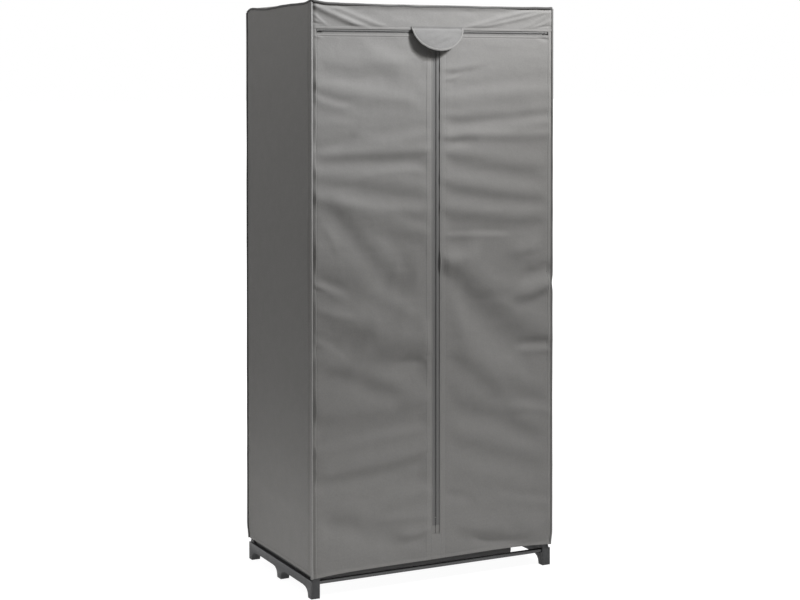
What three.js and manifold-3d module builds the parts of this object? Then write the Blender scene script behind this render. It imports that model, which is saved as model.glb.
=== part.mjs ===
// Portable fabric wardrobe: a zipped cloth cover over a plug-together tube frame
// Millimetres, +Z up, origin at the middle of the footprint on the floor, front towards -Y

import * as THREE from 'three'
import { mergeVertices } from 'three/addons/utils/BufferGeometryUtils.js'
import Module from 'manifold-3d'

const wasm = await Module()
wasm.setup()

// Cover: the outer box of the cloth
const coverWidth = 750
const coverDepth = 460
const coverHeight = 1600
const clothThickness = 1.2
const frontHemHeight = 58
const sideHemHeight = 61
const pipingRadius = 3
const frontEdgeWidth = 14

// Front: the header band, the level zip under it, and the skirt below the doors
const headerHeight = 69
const levelZipHeight = 17
const skirtHeight = 100
const doorEdgeFromMiddle = 10

// Folds in the cloth: how far and how wide a fold stands, and where a panel is held flat
const foldDepth = 4
const foldHalfWidth = 26
const flatBorder = 30
const topSag = 3
const sideWave = 1.5

// Frame tubes
const postRadius = 8
const railRadius = 6.25
const tubeWall = 0.8
const hangingRailRadius = 8

// Base: two moulded sides on three feet each
const baseSideInset = 1
const baseEndInset = 6
const beamWidth = 25
const beamBottom = 27
const beamTop = 49
const ribTop = 61
const ribSetback = 12
const ribEndSetback = 4
const bossSize = 20
const bossHeight = 31
const footWidth = 22
const middleFootWidth = 26
const cornerGusset = 36
const middleGusset = 30
const mouldWall = 2.5
const baseRailHeight = 42
const baseSocketDepth = 10

// Floor cloth: one sheet over the base rails, with a thick hem along the front and the back
const shelfShortfall = 102.7
const shelfThickness = 1.5
const shelfHemThickness = 5.5
const shelfHemWidth = 10
const shelfOverhang = 8

// Post joints at mid height
const joinerHeight = 48
const joinerRadius = 11
const joinerStop = 2.4

// Top corners
const topCornerSize = 29
const topCornerHeight = 36.5
const topCornerWall = 1.5
const topSocketDepth = 12
const postSocketDepth = 20
const topRailDrop = 8.5

// Hanging rail, carried by a bracket on each side rail
const bracketLength = 28
const bracketWidth = 18
const hangingRailDrop = 30
const bracketSocketDepth = 10

// Zips
const zipGap = 1.2
const chainWidth = 2.4
const chainThickness = 1.8
const tapeWidth = 19
const tapeThickness = 0.6
const zipTopSetback = 12
const skirtSlotDepth = 22
const skirtTapeLength = 58

// Zip sliders and their pulls
const sliderWidth = 9
const sliderLength = 12
const sliderPlate = 1
const sliderLip = 1.2
const earLength = 3.2
const earWidth = 1
const earInset = 0.1
const pinRadius = 0.5
const eyeWall = 0.5
const pullWidth = 5.2
const pullLength = 11
const pullThickness = 1.2
const sideSliderFromMiddle = 18
const sideSliderEndMargin = 9
const chainEndMargin = 4

// Half-moon flap over the parked sliders
const flapWidth = 167
const flapDrop = 69
const flapThickness = 1.6
const flapRise = 8
const flapBulge = 16.3
const flapBulgeRun = 8

// Clearances
const gap = 0.3
const cutOverrun = 5
const weldDistance = 1e-3

// Fineness of round parts and of the cloth
const tubeSides = 12
const socketSides = 16
const pipingSides = 8
const curveSteps = 4
const cornerSteps = 3
const doorColumns = 8
const doorRows = 36
const panelColumns = 4
const panelRows = 20
const headerColumns = 22
const headerRows = 4
const flapColumns = 10
const flapRows = 8

// Fold lines on each panel. Each row has the height of the fold at the left edge and at the
// right edge, its depth, and where across the panel it is deepest.
const leftDoorFoldShares = [
  [0.95, 0.945, 0.5, 0.5],
  [0.885, 0.87, -0.45, 0.55],
  [0.8, 0.845, 0.35, 0.4],
  [0.735, 0.66, -0.6, 0.35],
  [0.69, 0.49, 0.75, 0.4],
  [0.5, 0.43, -0.45, 0.25],
  [0.36, 0.32, 0.4, 0.35],
  [0.215, 0.205, -0.4, 0.5],
  [0.12, 0.11, 0.45, 0.6],
]
const rightDoorFoldShares = [
  [0.85, 0.83, 0.5, 0.5],
  [0.79, 0.78, -0.45, 0.55],
  [0.73, 0.71, 0.5, 0.5],
  [0.67, 0.65, -0.4, 0.45],
  [0.57, 0.39, 0.75, 0.5],
  [0.5, 0.34, -0.6, 0.45],
  [0.37, 0.22, 0.5, 0.35],
  [0.21, 0.22, -0.45, 0.7],
  [0.13, 0.12, 0.35, 0.5],
]
const headerFoldShares = [
  [0.95, -1.6, 0.45, 0.06],
  [0.35, 0.75, 0.25, 0.4],
  [0.7, 0.15, 0.35, 0.85],
]

// Places worked out from the sizes above
const halfWidth = coverWidth / 2
const halfDepth = coverDepth / 2
const baseWidth = coverWidth - 2 * baseSideInset
const baseDepth = coverDepth - 2 * baseEndInset
const headerBottom = coverHeight - headerHeight
const doorTop = headerBottom - levelZipHeight
const doorBottom = frontHemHeight + skirtHeight
const zipTopStop = doorTop - zipTopSetback
const pipingX = halfWidth - pipingRadius
const pipingY = halfDepth - pipingRadius
const topPipingZ = coverHeight - pipingRadius
const seamSetback = Math.sqrt((pipingRadius + gap) ** 2 - (pipingRadius - clothThickness) ** 2)
const panelX = pipingX - seamSetback
const panelY = pipingY - seamSetback
const panelTop = topPipingZ - seamSetback
const foldLineX = halfWidth - frontEdgeWidth
const beamInnerX = baseWidth / 2 - beamWidth
const postX = beamInnerX + bossSize / 2
const postY = (baseDepth - bossSize) / 2
const shelfWidth = 2 * beamInnerX - gap - shelfShortfall
const postBottom = ribTop + gap
const frameTop = coverHeight - clothThickness - gap
const topRailZ = frameTop - topRailDrop
const cornerBottom = frameTop - topCornerHeight
const cornerOuterX = postX + postRadius + topCornerWall
const cornerOuterY = postY + postRadius + topCornerWall
const cornerInnerX = cornerOuterX - topCornerSize
const cornerInnerY = cornerOuterY - topCornerSize
const postTop = cornerBottom + postSocketDepth - gap
const joinerMiddle = (postBottom + postTop) / 2
const topRailEndX = cornerInnerX + topSocketDepth - gap
const topRailEndY = cornerInnerY + topSocketDepth - gap
const hangingRailZ = topRailZ - hangingRailDrop
const bracketInnerX = postX - bracketWidth / 2
const zipPlaneY = -halfDepth + clothThickness + gap + tapeThickness / 2
const sideZipZ = (headerBottom + doorTop) / 2
const chainInner = zipGap / 2
const chainOuter = chainInner + chainWidth
const tapeOuter = chainOuter + tapeWidth
const uprightSliderZ = sideZipZ + chainInner - gap - sliderLength / 2
const skirtTop = doorBottom - gap
const pinY = chainThickness / 2 + gap + sliderPlate + gap + gap + eyeWall + pinRadius
const sideChainStart = sideSliderFromMiddle + sliderLength / 2 + chainEndMargin / 2
const sideSliderEnd = foldLineX - sideSliderEndMargin
const sideChainEnd = sideSliderEnd - sliderLength / 2 - chainEndMargin

// Materials
const cloth = new THREE.MeshStandardMaterial({ color: 0x7c7c7b, roughness: 0.85, metalness: 0 })
const welt = new THREE.MeshStandardMaterial({ color: 0x8a8a89, roughness: 0.8, metalness: 0 })
const moulding = new THREE.MeshStandardMaterial({ color: 0x3a3b3d, roughness: 0.5, metalness: 0 })
const paintedTube = new THREE.MeshStandardMaterial({ color: 0x2c2d30, roughness: 0.35, metalness: 0.3 })
const zipTape = new THREE.MeshStandardMaterial({ color: 0x575756, roughness: 0.8, metalness: 0 })
const zipMetal = new THREE.MeshStandardMaterial({ color: 0x2e2e30, roughness: 0.4, metalness: 0.6 })

const wardrobe = new THREE.Group()

function add(name, geometry, material, position = [0, 0, 0], rotation = [0, 0, 0]) {
  const mesh = new THREE.Mesh(geometry, material)
  mesh.name = name
  mesh.position.set(...position)
  mesh.rotation.set(...rotation)
  wardrobe.add(mesh)
  return mesh
}

// Joining and cutting
function toSolid(geometry) {
  const bare = geometry.clone()
  bare.deleteAttribute('normal')
  bare.deleteAttribute('uv')
  const merged = mergeVertices(bare, weldDistance)
  return new wasm.Manifold(new wasm.Mesh({
    numProp: 3,
    vertProperties: new Float32Array(merged.attributes.position.array),
    triVerts: new Uint32Array(merged.index.array),
  }))
}

function toGeometry(solid) {
  const mesh = solid.getMesh()
  const geometry = new THREE.BufferGeometry()
  geometry.setAttribute('position', new THREE.BufferAttribute(new Float32Array(mesh.vertProperties), 3))
  geometry.setIndex(new THREE.BufferAttribute(new Uint32Array(mesh.triVerts), 1))
  geometry.computeVertexNormals()
  return geometry
}

function joined(pieces, cuts = []) {
  let solid = toSolid(pieces[0])
  for (const piece of pieces.slice(1)) {
    solid = solid.add(toSolid(piece))
  }
  for (const cut of cuts) {
    solid = solid.subtract(toSolid(cut))
  }
  return toGeometry(solid)
}

// Plain shapes, each given by where it lies
function block(low, high) {
  const size = high.map((value, axis) => value - low[axis])
  const geometry = new THREE.BoxGeometry(...size)
  geometry.translate(...low.map((value, axis) => value + size[axis] / 2))
  return geometry
}

function turnTo(geometry, axis) {
  if (axis === 'x') {
    geometry.rotateZ(-Math.PI / 2)
  }
  if (axis === 'z') {
    geometry.rotateX(Math.PI / 2)
  }
  return geometry
}

function rod(axis, radius, length, centre, sides = socketSides) {
  const geometry = new THREE.CylinderGeometry(radius, radius, length, sides)
  turnTo(geometry, axis)
  geometry.translate(...centre)
  return geometry
}

function tube(axis, outerRadius, innerRadius, length, sides = tubeSides) {
  const profile = [
    new THREE.Vector2(innerRadius, -length / 2),
    new THREE.Vector2(outerRadius, -length / 2),
    new THREE.Vector2(outerRadius, length / 2),
    new THREE.Vector2(innerRadius, length / 2),
    new THREE.Vector2(innerRadius, -length / 2),
  ]
  return turnTo(new THREE.LatheGeometry(profile, sides), axis)
}

// A closed sheet of cloth: its outer face is given point by point, facing -Y, and its inner
// face lies one thickness behind
function clothSheet(columns, rows, thickness, outerPoint) {
  const positions = []
  const indices = []
  const sheetSize = (columns + 1) * (rows + 1)
  const at = (side, column, row) => side * sheetSize + row * (columns + 1) + column
  const quad = (a, b, c, d) => indices.push(a, b, c, a, c, d)
  for (const side of [0, 1]) {
    for (let row = 0; row <= rows; row += 1) {
      for (let column = 0; column <= columns; column += 1) {
        const [x, y, z] = outerPoint(column / columns, row / rows)
        positions.push(x, y + side * thickness, z)
      }
    }
  }
  for (let row = 0; row < rows; row += 1) {
    for (let column = 0; column < columns; column += 1) {
      quad(at(0, column, row), at(0, column + 1, row), at(0, column + 1, row + 1), at(0, column, row + 1))
      quad(at(1, column, row), at(1, column, row + 1), at(1, column + 1, row + 1), at(1, column + 1, row))
    }
    quad(at(0, 0, row), at(0, 0, row + 1), at(1, 0, row + 1), at(1, 0, row))
    quad(at(0, columns, row + 1), at(0, columns, row), at(1, columns, row), at(1, columns, row + 1))
  }
  for (let column = 0; column < columns; column += 1) {
    quad(at(0, column + 1, 0), at(0, column, 0), at(1, column, 0), at(1, column + 1, 0))
    quad(at(0, column, rows), at(0, column + 1, rows), at(1, column + 1, rows), at(1, column, rows))
  }
  const geometry = new THREE.BufferGeometry()
  geometry.setAttribute('position', new THREE.Float32BufferAttribute(positions, 3))
  geometry.setIndex(indices)
  geometry.computeVertexNormals()
  return geometry
}

function smooth(share) {
  const held = Math.min(Math.max(share, 0), 1)
  return held * held * (3 - 2 * held)
}

// How far a fold table lifts the cloth at a point of a panel. A rim that a zip tape backs
// stays flat, and the folds grow from there.
function foldLift(foldShares, u, v, width, height, flatRim) {
  const fromSides = Math.min(u, 1 - u) * width - flatRim
  const fromEnds = Math.min(v, 1 - v) * height - flatRim
  const border = smooth(fromSides / flatBorder) * smooth(fromEnds / flatBorder)
  let lift = 0
  for (const [leftShare, rightShare, depthShare, middleShare] of foldShares) {
    const above = (v - leftShare - (rightShare - leftShare) * u) * height
    const spread = 1 - smooth(Math.abs(u - middleShare))
    lift += depthShare * foldDepth * spread * Math.exp(-((above / foldHalfWidth) ** 2))
  }
  return lift * border
}

// The first and the last row of faces cover the flat rim, and the rest are even
function rimmed(share, steps, length, flatRim) {
  const step = Math.round(share * steps)
  if (step === 0 || step === steps) {
    return share
  }
  return (flatRim + (length - 2 * flatRim) * (step - 1) / (steps - 2)) / length
}

function foldedPanel(left, right, bottom, top, foldShares, columns, rows, flatRim) {
  const width = right - left
  const height = top - bottom
  return clothSheet(columns, rows, clothThickness, (evenU, evenV) => {
    const u = rimmed(evenU, columns, width, flatRim)
    const v = rimmed(evenV, rows, height, flatRim)
    const lift = foldLift(foldShares, u, v, width, height, flatRim)
    return [left + u * width, -halfDepth - lift, bottom + v * height]
  })
}

// A panel that bows a little in long soft waves, centred on its own middle line
function wavedPanel(halfSpan, bottom, top, wave) {
  return clothSheet(panelColumns, panelRows, clothThickness, (u, v) => [
    -halfSpan + 2 * halfSpan * u,
    wave * Math.sin(Math.PI * u) ** 2 * Math.sin(3 * Math.PI * v) ** 2,
    bottom + v * (top - bottom),
  ])
}

// Base sides: a beam on three hollow feet, with a rib and two bosses that hold the posts
function baseOutline() {
  const end = baseDepth / 2
  const middle = middleFootWidth / 2
  const outline = new THREE.Shape()
  outline.moveTo(-end, 0)
  outline.lineTo(-end + footWidth, 0)
  outline.quadraticCurveTo(-end + footWidth, beamBottom, -end + footWidth + cornerGusset, beamBottom)
  outline.lineTo(-middle - middleGusset, beamBottom)
  outline.quadraticCurveTo(-middle, beamBottom, -middle, 0)
  outline.lineTo(middle, 0)
  outline.quadraticCurveTo(middle, beamBottom, middle + middleGusset, beamBottom)
  outline.lineTo(end - footWidth - cornerGusset, beamBottom)
  outline.quadraticCurveTo(end - footWidth, beamBottom, end - footWidth, 0)
  outline.lineTo(end, 0)
  outline.lineTo(end, beamTop)
  outline.lineTo(-end, beamTop)
  outline.closePath()
  return outline
}

function baseSide(side) {
  const span = (near, far) => [Math.min(side * near, side * far), Math.max(side * near, side * far)]
  const [beamLow] = span(beamInnerX, baseWidth / 2)
  const [ribLow, ribHigh] = span(beamInnerX, baseWidth / 2 - ribSetback)
  const [bossLow, bossHigh] = span(beamInnerX, beamInnerX + bossSize)
  const [pocketLow, pocketHigh] = span(beamInnerX + mouldWall, baseWidth / 2 - mouldWall)
  const beam = new THREE.ExtrudeGeometry(baseOutline(), {
    depth: beamWidth,
    bevelEnabled: false,
    curveSegments: curveSteps,
  })
  beam.applyMatrix4(new THREE.Matrix4().makeBasis(
    new THREE.Vector3(0, 1, 0),
    new THREE.Vector3(0, 0, 1),
    new THREE.Vector3(1, 0, 0),
  ))
  beam.translate(beamLow, 0, 0)
  const ribEnd = baseDepth / 2 - ribEndSetback
  const pieces = [beam, block([ribLow, -ribEnd, beamBottom + mouldWall], [ribHigh, ribEnd, ribTop])]
  const cuts = []
  const railEnd = beamInnerX + baseSocketDepth / 2 - cutOverrun / 2
  for (const endways of [-1, 0, 1]) {
    const footMiddle = endways * (baseDepth - footWidth) / 2
    const footHalf = (endways === 0 ? middleFootWidth : footWidth) / 2 - mouldWall
    cuts.push(block(
      [pocketLow, footMiddle - footHalf, -cutOverrun],
      [pocketHigh, footMiddle + footHalf, beamBottom - mouldWall],
    ))
    const railSocket = [side * railEnd, endways * postY, baseRailHeight]
    cuts.push(rod('x', railRadius + gap, baseSocketDepth + cutOverrun, railSocket))
    if (endways !== 0) {
      const [bossFront, bossBack] = [endways * postY - bossSize / 2, endways * postY + bossSize / 2]
      const bossBottom = beamTop - mouldWall
      pieces.push(block([bossLow, bossFront, bossBottom], [bossHigh, bossBack, ribTop + bossHeight]))
      const socketMiddle = ribTop + (bossHeight + cutOverrun) / 2
      const postSocket = [side * postX, endways * postY, socketMiddle]
      cuts.push(rod('z', postRadius + gap, bossHeight + cutOverrun, postSocket))
    }
  }
  return joined(pieces, cuts)
}

const sides = [['left', -1], ['right', 1]]
const corners = [
  ['front_left', -1, -1],
  ['front_right', 1, -1],
  ['back_left', -1, 1],
  ['back_right', 1, 1],
]

for (const [sideName, side] of sides) {
  add(`base_side_${sideName}`, baseSide(side), moulding)
}

const baseRailLength = 2 * (beamInnerX + baseSocketDepth - gap)
for (const [placeName, place] of [['front', -1], ['middle', 0], ['back', 1]]) {
  const rail = tube('x', railRadius, railRadius - tubeWall, baseRailLength)
  add(`base_rail_${placeName}`, rail, paintedTube, [0, place * postY, baseRailHeight])
}

// Floor cloth, laid over the three base rails against the left side
function bottomShelf() {
  const hemOuter = postY + shelfOverhang
  const hemInner = hemOuter - shelfHemWidth
  const section = new THREE.Shape()
  section.moveTo(-hemOuter, 0)
  section.lineTo(hemOuter, 0)
  section.lineTo(hemOuter, shelfHemThickness)
  section.lineTo(hemInner, shelfHemThickness)
  section.lineTo(hemInner, shelfThickness)
  section.lineTo(-hemInner, shelfThickness)
  section.lineTo(-hemInner, shelfHemThickness)
  section.lineTo(-hemOuter, shelfHemThickness)
  section.closePath()
  const geometry = new THREE.ExtrudeGeometry(section, { depth: shelfWidth, bevelEnabled: false })
  geometry.applyMatrix4(new THREE.Matrix4().makeBasis(
    new THREE.Vector3(0, 1, 0),
    new THREE.Vector3(0, 0, 1),
    new THREE.Vector3(1, 0, 0),
  ))
  return geometry
}
add('bottom_shelf', bottomShelf(), cloth, [-beamInnerX + gap, 0, baseRailHeight + railRadius + gap])

// Posts: a lower and an upper tube, pushed into a joiner with a stop between them
const lowerPostTop = joinerMiddle - joinerStop / 2 - gap
const upperPostBottom = joinerMiddle + joinerStop / 2 + gap

function postJoiner() {
  const body = rod('z', joinerRadius, joinerHeight, [0, 0, 0])
  const socketDepth = (joinerHeight - joinerStop) / 2
  const cuts = [-1, 1].map((end) => rod(
    'z',
    postRadius + gap,
    socketDepth + cutOverrun,
    [0, 0, end * (joinerStop + socketDepth + cutOverrun) / 2],
  ))
  return joined([body], cuts)
}

for (const [cornerName, sideX, sideY] of corners) {
  const x = sideX * postX
  const y = sideY * postY
  const lowerLength = lowerPostTop - postBottom
  const upperLength = postTop - upperPostBottom
  const lower = tube('z', postRadius, postRadius - tubeWall, lowerLength)
  const upper = tube('z', postRadius, postRadius - tubeWall, upperLength)
  add(`post_lower_${cornerName}`, lower, paintedTube, [x, y, postBottom + lowerLength / 2])
  add(`post_joiner_${cornerName}`, postJoiner(), moulding, [x, y, joinerMiddle])
  add(`post_upper_${cornerName}`, upper, paintedTube, [x, y, upperPostBottom + upperLength / 2])
}

// Top corners: a block with a socket for the post below and one for each rail beside it
function topCorner(sideX, sideY) {
  const low = [
    Math.min(sideX * cornerInnerX, sideX * cornerOuterX),
    Math.min(sideY * cornerInnerY, sideY * cornerOuterY),
    cornerBottom,
  ]
  const high = [
    Math.max(sideX * cornerInnerX, sideX * cornerOuterX),
    Math.max(sideY * cornerInnerY, sideY * cornerOuterY),
    frameTop,
  ]
  const postCut = postSocketDepth + cutOverrun
  const railCut = topSocketDepth + cutOverrun
  const railX = sideX * (cornerInnerX + (topSocketDepth - cutOverrun) / 2)
  const railY = sideY * (cornerInnerY + (topSocketDepth - cutOverrun) / 2)
  const postCutMiddle = cornerBottom + (postSocketDepth - cutOverrun) / 2
  return joined([block(low, high)], [
    rod('z', postRadius + gap, postCut, [sideX * postX, sideY * postY, postCutMiddle]),
    rod('x', railRadius + gap, railCut, [railX, sideY * postY, topRailZ]),
    rod('y', railRadius + gap, railCut, [sideX * postX, railY, topRailZ]),
  ])
}

for (const [cornerName, sideX, sideY] of corners) {
  add(`top_corner_${cornerName}`, topCorner(sideX, sideY), moulding)
}

for (const [placeName, place] of [['front', -1], ['back', 1]]) {
  const rail = tube('x', railRadius, railRadius - tubeWall, 2 * topRailEndX)
  add(`top_rail_${placeName}`, rail, paintedTube, [0, place * postY, topRailZ])
}

for (const [sideName, side] of sides) {
  const rail = tube('y', railRadius, railRadius - tubeWall, 2 * topRailEndY)
  add(`top_rail_${sideName}`, rail, paintedTube, [side * postX, 0, topRailZ])
}

// Hanging rail and the brackets that carry it
function railBracket(side) {
  const inner = side * bracketInnerX
  const outer = side * (bracketInnerX + bracketWidth)
  const bottom = hangingRailZ - hangingRailRadius - gap - mouldWall
  const body = block(
    [Math.min(inner, outer), -bracketLength / 2, bottom],
    [Math.max(inner, outer), bracketLength / 2, frameTop],
  )
  const socketMiddle = side * (bracketInnerX + (bracketSocketDepth - cutOverrun) / 2)
  return joined([body], [
    rod('y', railRadius + gap, bracketLength + cutOverrun, [side * postX, 0, topRailZ]),
    rod('x', hangingRailRadius + gap, bracketSocketDepth + cutOverrun, [socketMiddle, 0, hangingRailZ]),
  ])
}

for (const [sideName, side] of sides) {
  add(`hanging_rail_bracket_${sideName}`, railBracket(side), moulding)
}
const hangingRailLength = 2 * (bracketInnerX + bracketSocketDepth - gap)
const hangingRail = tube('x', hangingRailRadius, hangingRailRadius - tubeWall, hangingRailLength)
add('hanging_rail', hangingRail, paintedTube, [0, 0, hangingRailZ])

// Cover panels, each sewn to the piping along its edges
const coverTop = clothSheet(panelColumns * 2, panelColumns * 2, clothThickness, (u, v) => [
  (2 * u - 1) * panelX,
  topSag * (Math.sin(Math.PI * u) * Math.sin(Math.PI * v)) ** 2,
  (2 * v - 1) * panelY,
])
add('cover_top', coverTop, cloth, [0, 0, coverHeight], [-Math.PI / 2, 0, 0])

for (const [sideName, side] of sides) {
  const panel = wavedPanel(panelY, sideHemHeight, panelTop, sideWave)
  add(`side_panel_${sideName}`, panel, cloth, [side * halfWidth, 0, 0], [0, 0, side * Math.PI / 2])
}
const backPanel = wavedPanel(panelX, sideHemHeight, panelTop, sideWave)
add('back_panel', backPanel, cloth, [0, halfDepth, 0], [0, 0, Math.PI])

const header = foldedPanel(
  -panelX, panelX, headerBottom, panelTop, headerFoldShares, headerColumns, headerRows, flapRise,
)
add('header', header, cloth)

for (const [sideName, side] of sides) {
  const near = side * (foldLineX + gap)
  const far = side * panelX
  add(`front_edge_${sideName}`, block(
    [Math.min(near, far), -halfDepth, frontHemHeight],
    [Math.max(near, far), -halfDepth + clothThickness, headerBottom - gap],
  ), cloth)
}

// Skirt below the doors, with a slot where the zip slider parks when the doors are open
const skirt = joined(
  [block([-foldLineX, -halfDepth, frontHemHeight], [foldLineX, -halfDepth + clothThickness, skirtTop])],
  [block(
    [-doorEdgeFromMiddle, -halfDepth - cutOverrun, skirtTop - skirtSlotDepth],
    [doorEdgeFromMiddle, -halfDepth + cutOverrun, skirtTop + cutOverrun],
  )],
)
add('skirt', skirt, cloth)

// Piping: a ring round the top and an upright welt at each corner
function topPiping() {
  const path = []
  const section = []
  const turns = [[pipingX, pipingY], [-pipingX, pipingY], [-pipingX, -pipingY], [pipingX, -pipingY]]
  for (const [turn, [x, y]] of turns.entries()) {
    for (let step = 0; step <= cornerSteps; step += 1) {
      const angle = (turn + step / cornerSteps) * Math.PI / 2
      path.push([
        x + (Math.cos(angle) - Math.sign(x)) * pipingRadius,
        y + (Math.sin(angle) - Math.sign(y)) * pipingRadius,
        Math.cos(angle),
        Math.sin(angle),
      ])
    }
  }
  for (let step = 0; step < pipingSides; step += 1) {
    const angle = 2 * Math.PI * step / pipingSides
    section.push([pipingRadius * Math.cos(angle), pipingRadius * Math.sin(angle)])
  }
  const positions = []
  const indices = []
  path.forEach(([x, y, outX, outY], ring) => {
    section.forEach(([out, up], point) => {
      positions.push(x + out * outX, y + out * outY, up)
      const nextRing = (ring + 1) % path.length
      const nextPoint = (point + 1) % section.length
      const corner = (r, p) => r * section.length + p
      indices.push(corner(ring, point), corner(nextRing, point), corner(nextRing, nextPoint))
      indices.push(corner(ring, point), corner(nextRing, nextPoint), corner(ring, nextPoint))
    })
  })
  const geometry = new THREE.BufferGeometry()
  geometry.setAttribute('position', new THREE.Float32BufferAttribute(positions, 3))
  geometry.setIndex(indices)
  geometry.computeVertexNormals()
  return geometry
}
add('piping_top', topPiping(), welt, [0, 0, topPipingZ])

for (const [cornerName, sideX, sideY] of corners) {
  const bottom = sideY < 0 ? frontHemHeight : sideHemHeight
  const length = coverHeight - 2 * pipingRadius - gap - bottom
  const middle = [sideX * pipingX, sideY * pipingY, bottom + length / 2]
  add(`piping_${cornerName}`, rod('z', pipingRadius, length, middle, pipingSides), welt)
}

// Doors
const doorNear = doorEdgeFromMiddle
const doorFar = foldLineX - gap
for (const [sideName, left, right, foldShares] of [
  ['left', -doorFar, -doorNear, leftDoorFoldShares],
  ['right', doorNear, doorFar, rightDoorFoldShares],
]) {
  const door = foldedPanel(
    left, right, doorBottom, doorTop, foldShares, doorColumns, doorRows, tapeWidth,
  )
  add(`door_${sideName}`, door, cloth)
}

// Half a zip: a row of teeth on the edge of its tape, upright, on the left or the right
function zipHalf(side, length) {
  const section = new THREE.Shape()
  section.moveTo(side * chainInner, -chainThickness / 2)
  section.lineTo(side * chainOuter, -chainThickness / 2)
  section.lineTo(side * chainOuter, -tapeThickness / 2)
  section.lineTo(side * tapeOuter, -tapeThickness / 2)
  section.lineTo(side * tapeOuter, tapeThickness / 2)
  section.lineTo(side * chainOuter, tapeThickness / 2)
  section.lineTo(side * chainOuter, chainThickness / 2)
  section.lineTo(side * chainInner, chainThickness / 2)
  section.closePath()
  return new THREE.ExtrudeGeometry(section, { depth: length, bevelEnabled: false })
}

for (const [sideName, side] of sides) {
  const uprightLength = zipTopStop - doorBottom
  add(`zip_upright_${sideName}`, zipHalf(side, uprightLength), zipTape, [0, zipPlaneY, doorBottom])
  const sideLength = sideChainEnd - sideChainStart
  const start = side < 0 ? -sideChainEnd : sideChainStart
  const turned = [0, Math.PI / 2, 0]
  add(`zip_door_${sideName}`, zipHalf(1, sideLength), zipTape, [start, zipPlaneY, sideZipZ], turned)
  const headerLength = sideSliderEnd
  const headerStart = side < 0 ? -sideSliderEnd - gap : gap
  const headerPlace = [headerStart, zipPlaneY, sideZipZ]
  add(`zip_header_${sideName}`, zipHalf(-1, headerLength), zipTape, headerPlace, turned)
}

const skirtTape = joined(
  [block(
    [-tapeOuter, zipPlaneY - tapeThickness / 2, skirtTop - skirtTapeLength],
    [tapeOuter, zipPlaneY + tapeThickness / 2, skirtTop],
  )],
  [block(
    [-chainInner, zipPlaneY - cutOverrun, skirtTop - skirtSlotDepth],
    [chainInner, zipPlaneY + cutOverrun, skirtTop + cutOverrun],
  )],
)
add('zip_skirt_tape', skirtTape, zipTape)

// Sliders: two plates joined by a thin web that runs between the rows of teeth, with lips
// round the teeth, and two ears that hold the pull's pin
function zipSlider() {
  const plateInner = chainThickness / 2 + gap
  const plateOuter = plateInner + sliderPlate
  const web = zipGap / 2 - gap
  const lipInner = tapeThickness / 2 + gap
  const halfLength = sliderLength / 2
  const halfSlider = sliderWidth / 2
  const sink = gap
  const pieces = [block([-web, -plateOuter, -halfLength], [web, plateOuter, halfLength])]
  for (const face of [-1, 1]) {
    const low = Math.min(face * plateInner, face * plateOuter)
    pieces.push(block([-halfSlider, low, -halfLength], [halfSlider, low + sliderPlate, halfLength]))
    for (const side of [-1, 1]) {
      const lipX = side > 0 ? halfSlider - sliderLip : -halfSlider
      const lipY = face > 0 ? lipInner : -plateInner - sink
      const lipHeight = plateInner - lipInner + sink
      pieces.push(block([lipX, lipY, -halfLength], [lipX + sliderLip, lipY + lipHeight, halfLength]))
    }
  }
  for (const side of [-1, 1]) {
    const earX = side > 0 ? halfSlider - earInset - earWidth : -halfSlider + earInset
    const earFront = -pinY - pinRadius - gap
    pieces.push(block([earX, earFront, -earLength / 2], [earX + earWidth, -plateInner, earLength / 2]))
  }
  pieces.push(rod('x', pinRadius, sliderWidth - 2 * earInset - earWidth, [0, -pinY, 0], pipingSides))
  return joined(pieces)
}

// Pulls: a flat tab with an eye that turns on the slider's pin
function zipPull() {
  const eyeInner = pinRadius + gap
  const eye = tube('x', eyeInner + eyeWall, eyeInner, pullWidth)
  eye.translate(0, -pinY, 0)
  const tab = block(
    [-pullWidth / 2, -pinY - pullThickness / 2, -pullLength],
    [pullWidth / 2, -pinY + pullThickness / 2, -eyeInner - eyeWall / 2],
  )
  return joined([eye, tab])
}

const sliderPlaces = [
  ['upright', [0, zipPlaneY, uprightSliderZ], 0],
  ['left', [-sideSliderFromMiddle, zipPlaneY, sideZipZ], -Math.PI / 2],
  ['right', [sideSliderFromMiddle, zipPlaneY, sideZipZ], Math.PI / 2],
]
for (const [placeName, position, turn] of sliderPlaces) {
  add(`slider_${placeName}`, zipSlider(), zipMetal, position, [0, turn, 0])
  add(`pull_${placeName}`, zipPull(), zipMetal, position, [0, turn, 0])
}

// Half-moon flap: sewn to the header, standing out over the parked sliders
const flapRoot = headerBottom + flapRise
const flapSpread = Math.PI / 2 * 0.96
const halfMoon = clothSheet(flapColumns, flapRows, flapThickness, (u, v) => {
  const angle = flapSpread * (1 - v)
  const drop = flapDrop * Math.sin(angle)
  const bulge = flapBulge * (1 - Math.exp(-drop / flapBulgeRun))
  return [
    flapWidth / 2 * Math.cos(angle) * (2 * u - 1),
    -halfDepth - gap - flapThickness - bulge,
    flapRoot - gap - drop,
  ]
})
add('half_moon_flap', halfMoon, cloth)

export default wardrobe
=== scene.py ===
# Portable fabric wardrobe: a zipped cover of non-woven cloth over a frame of plugged-together tubes
import math

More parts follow.
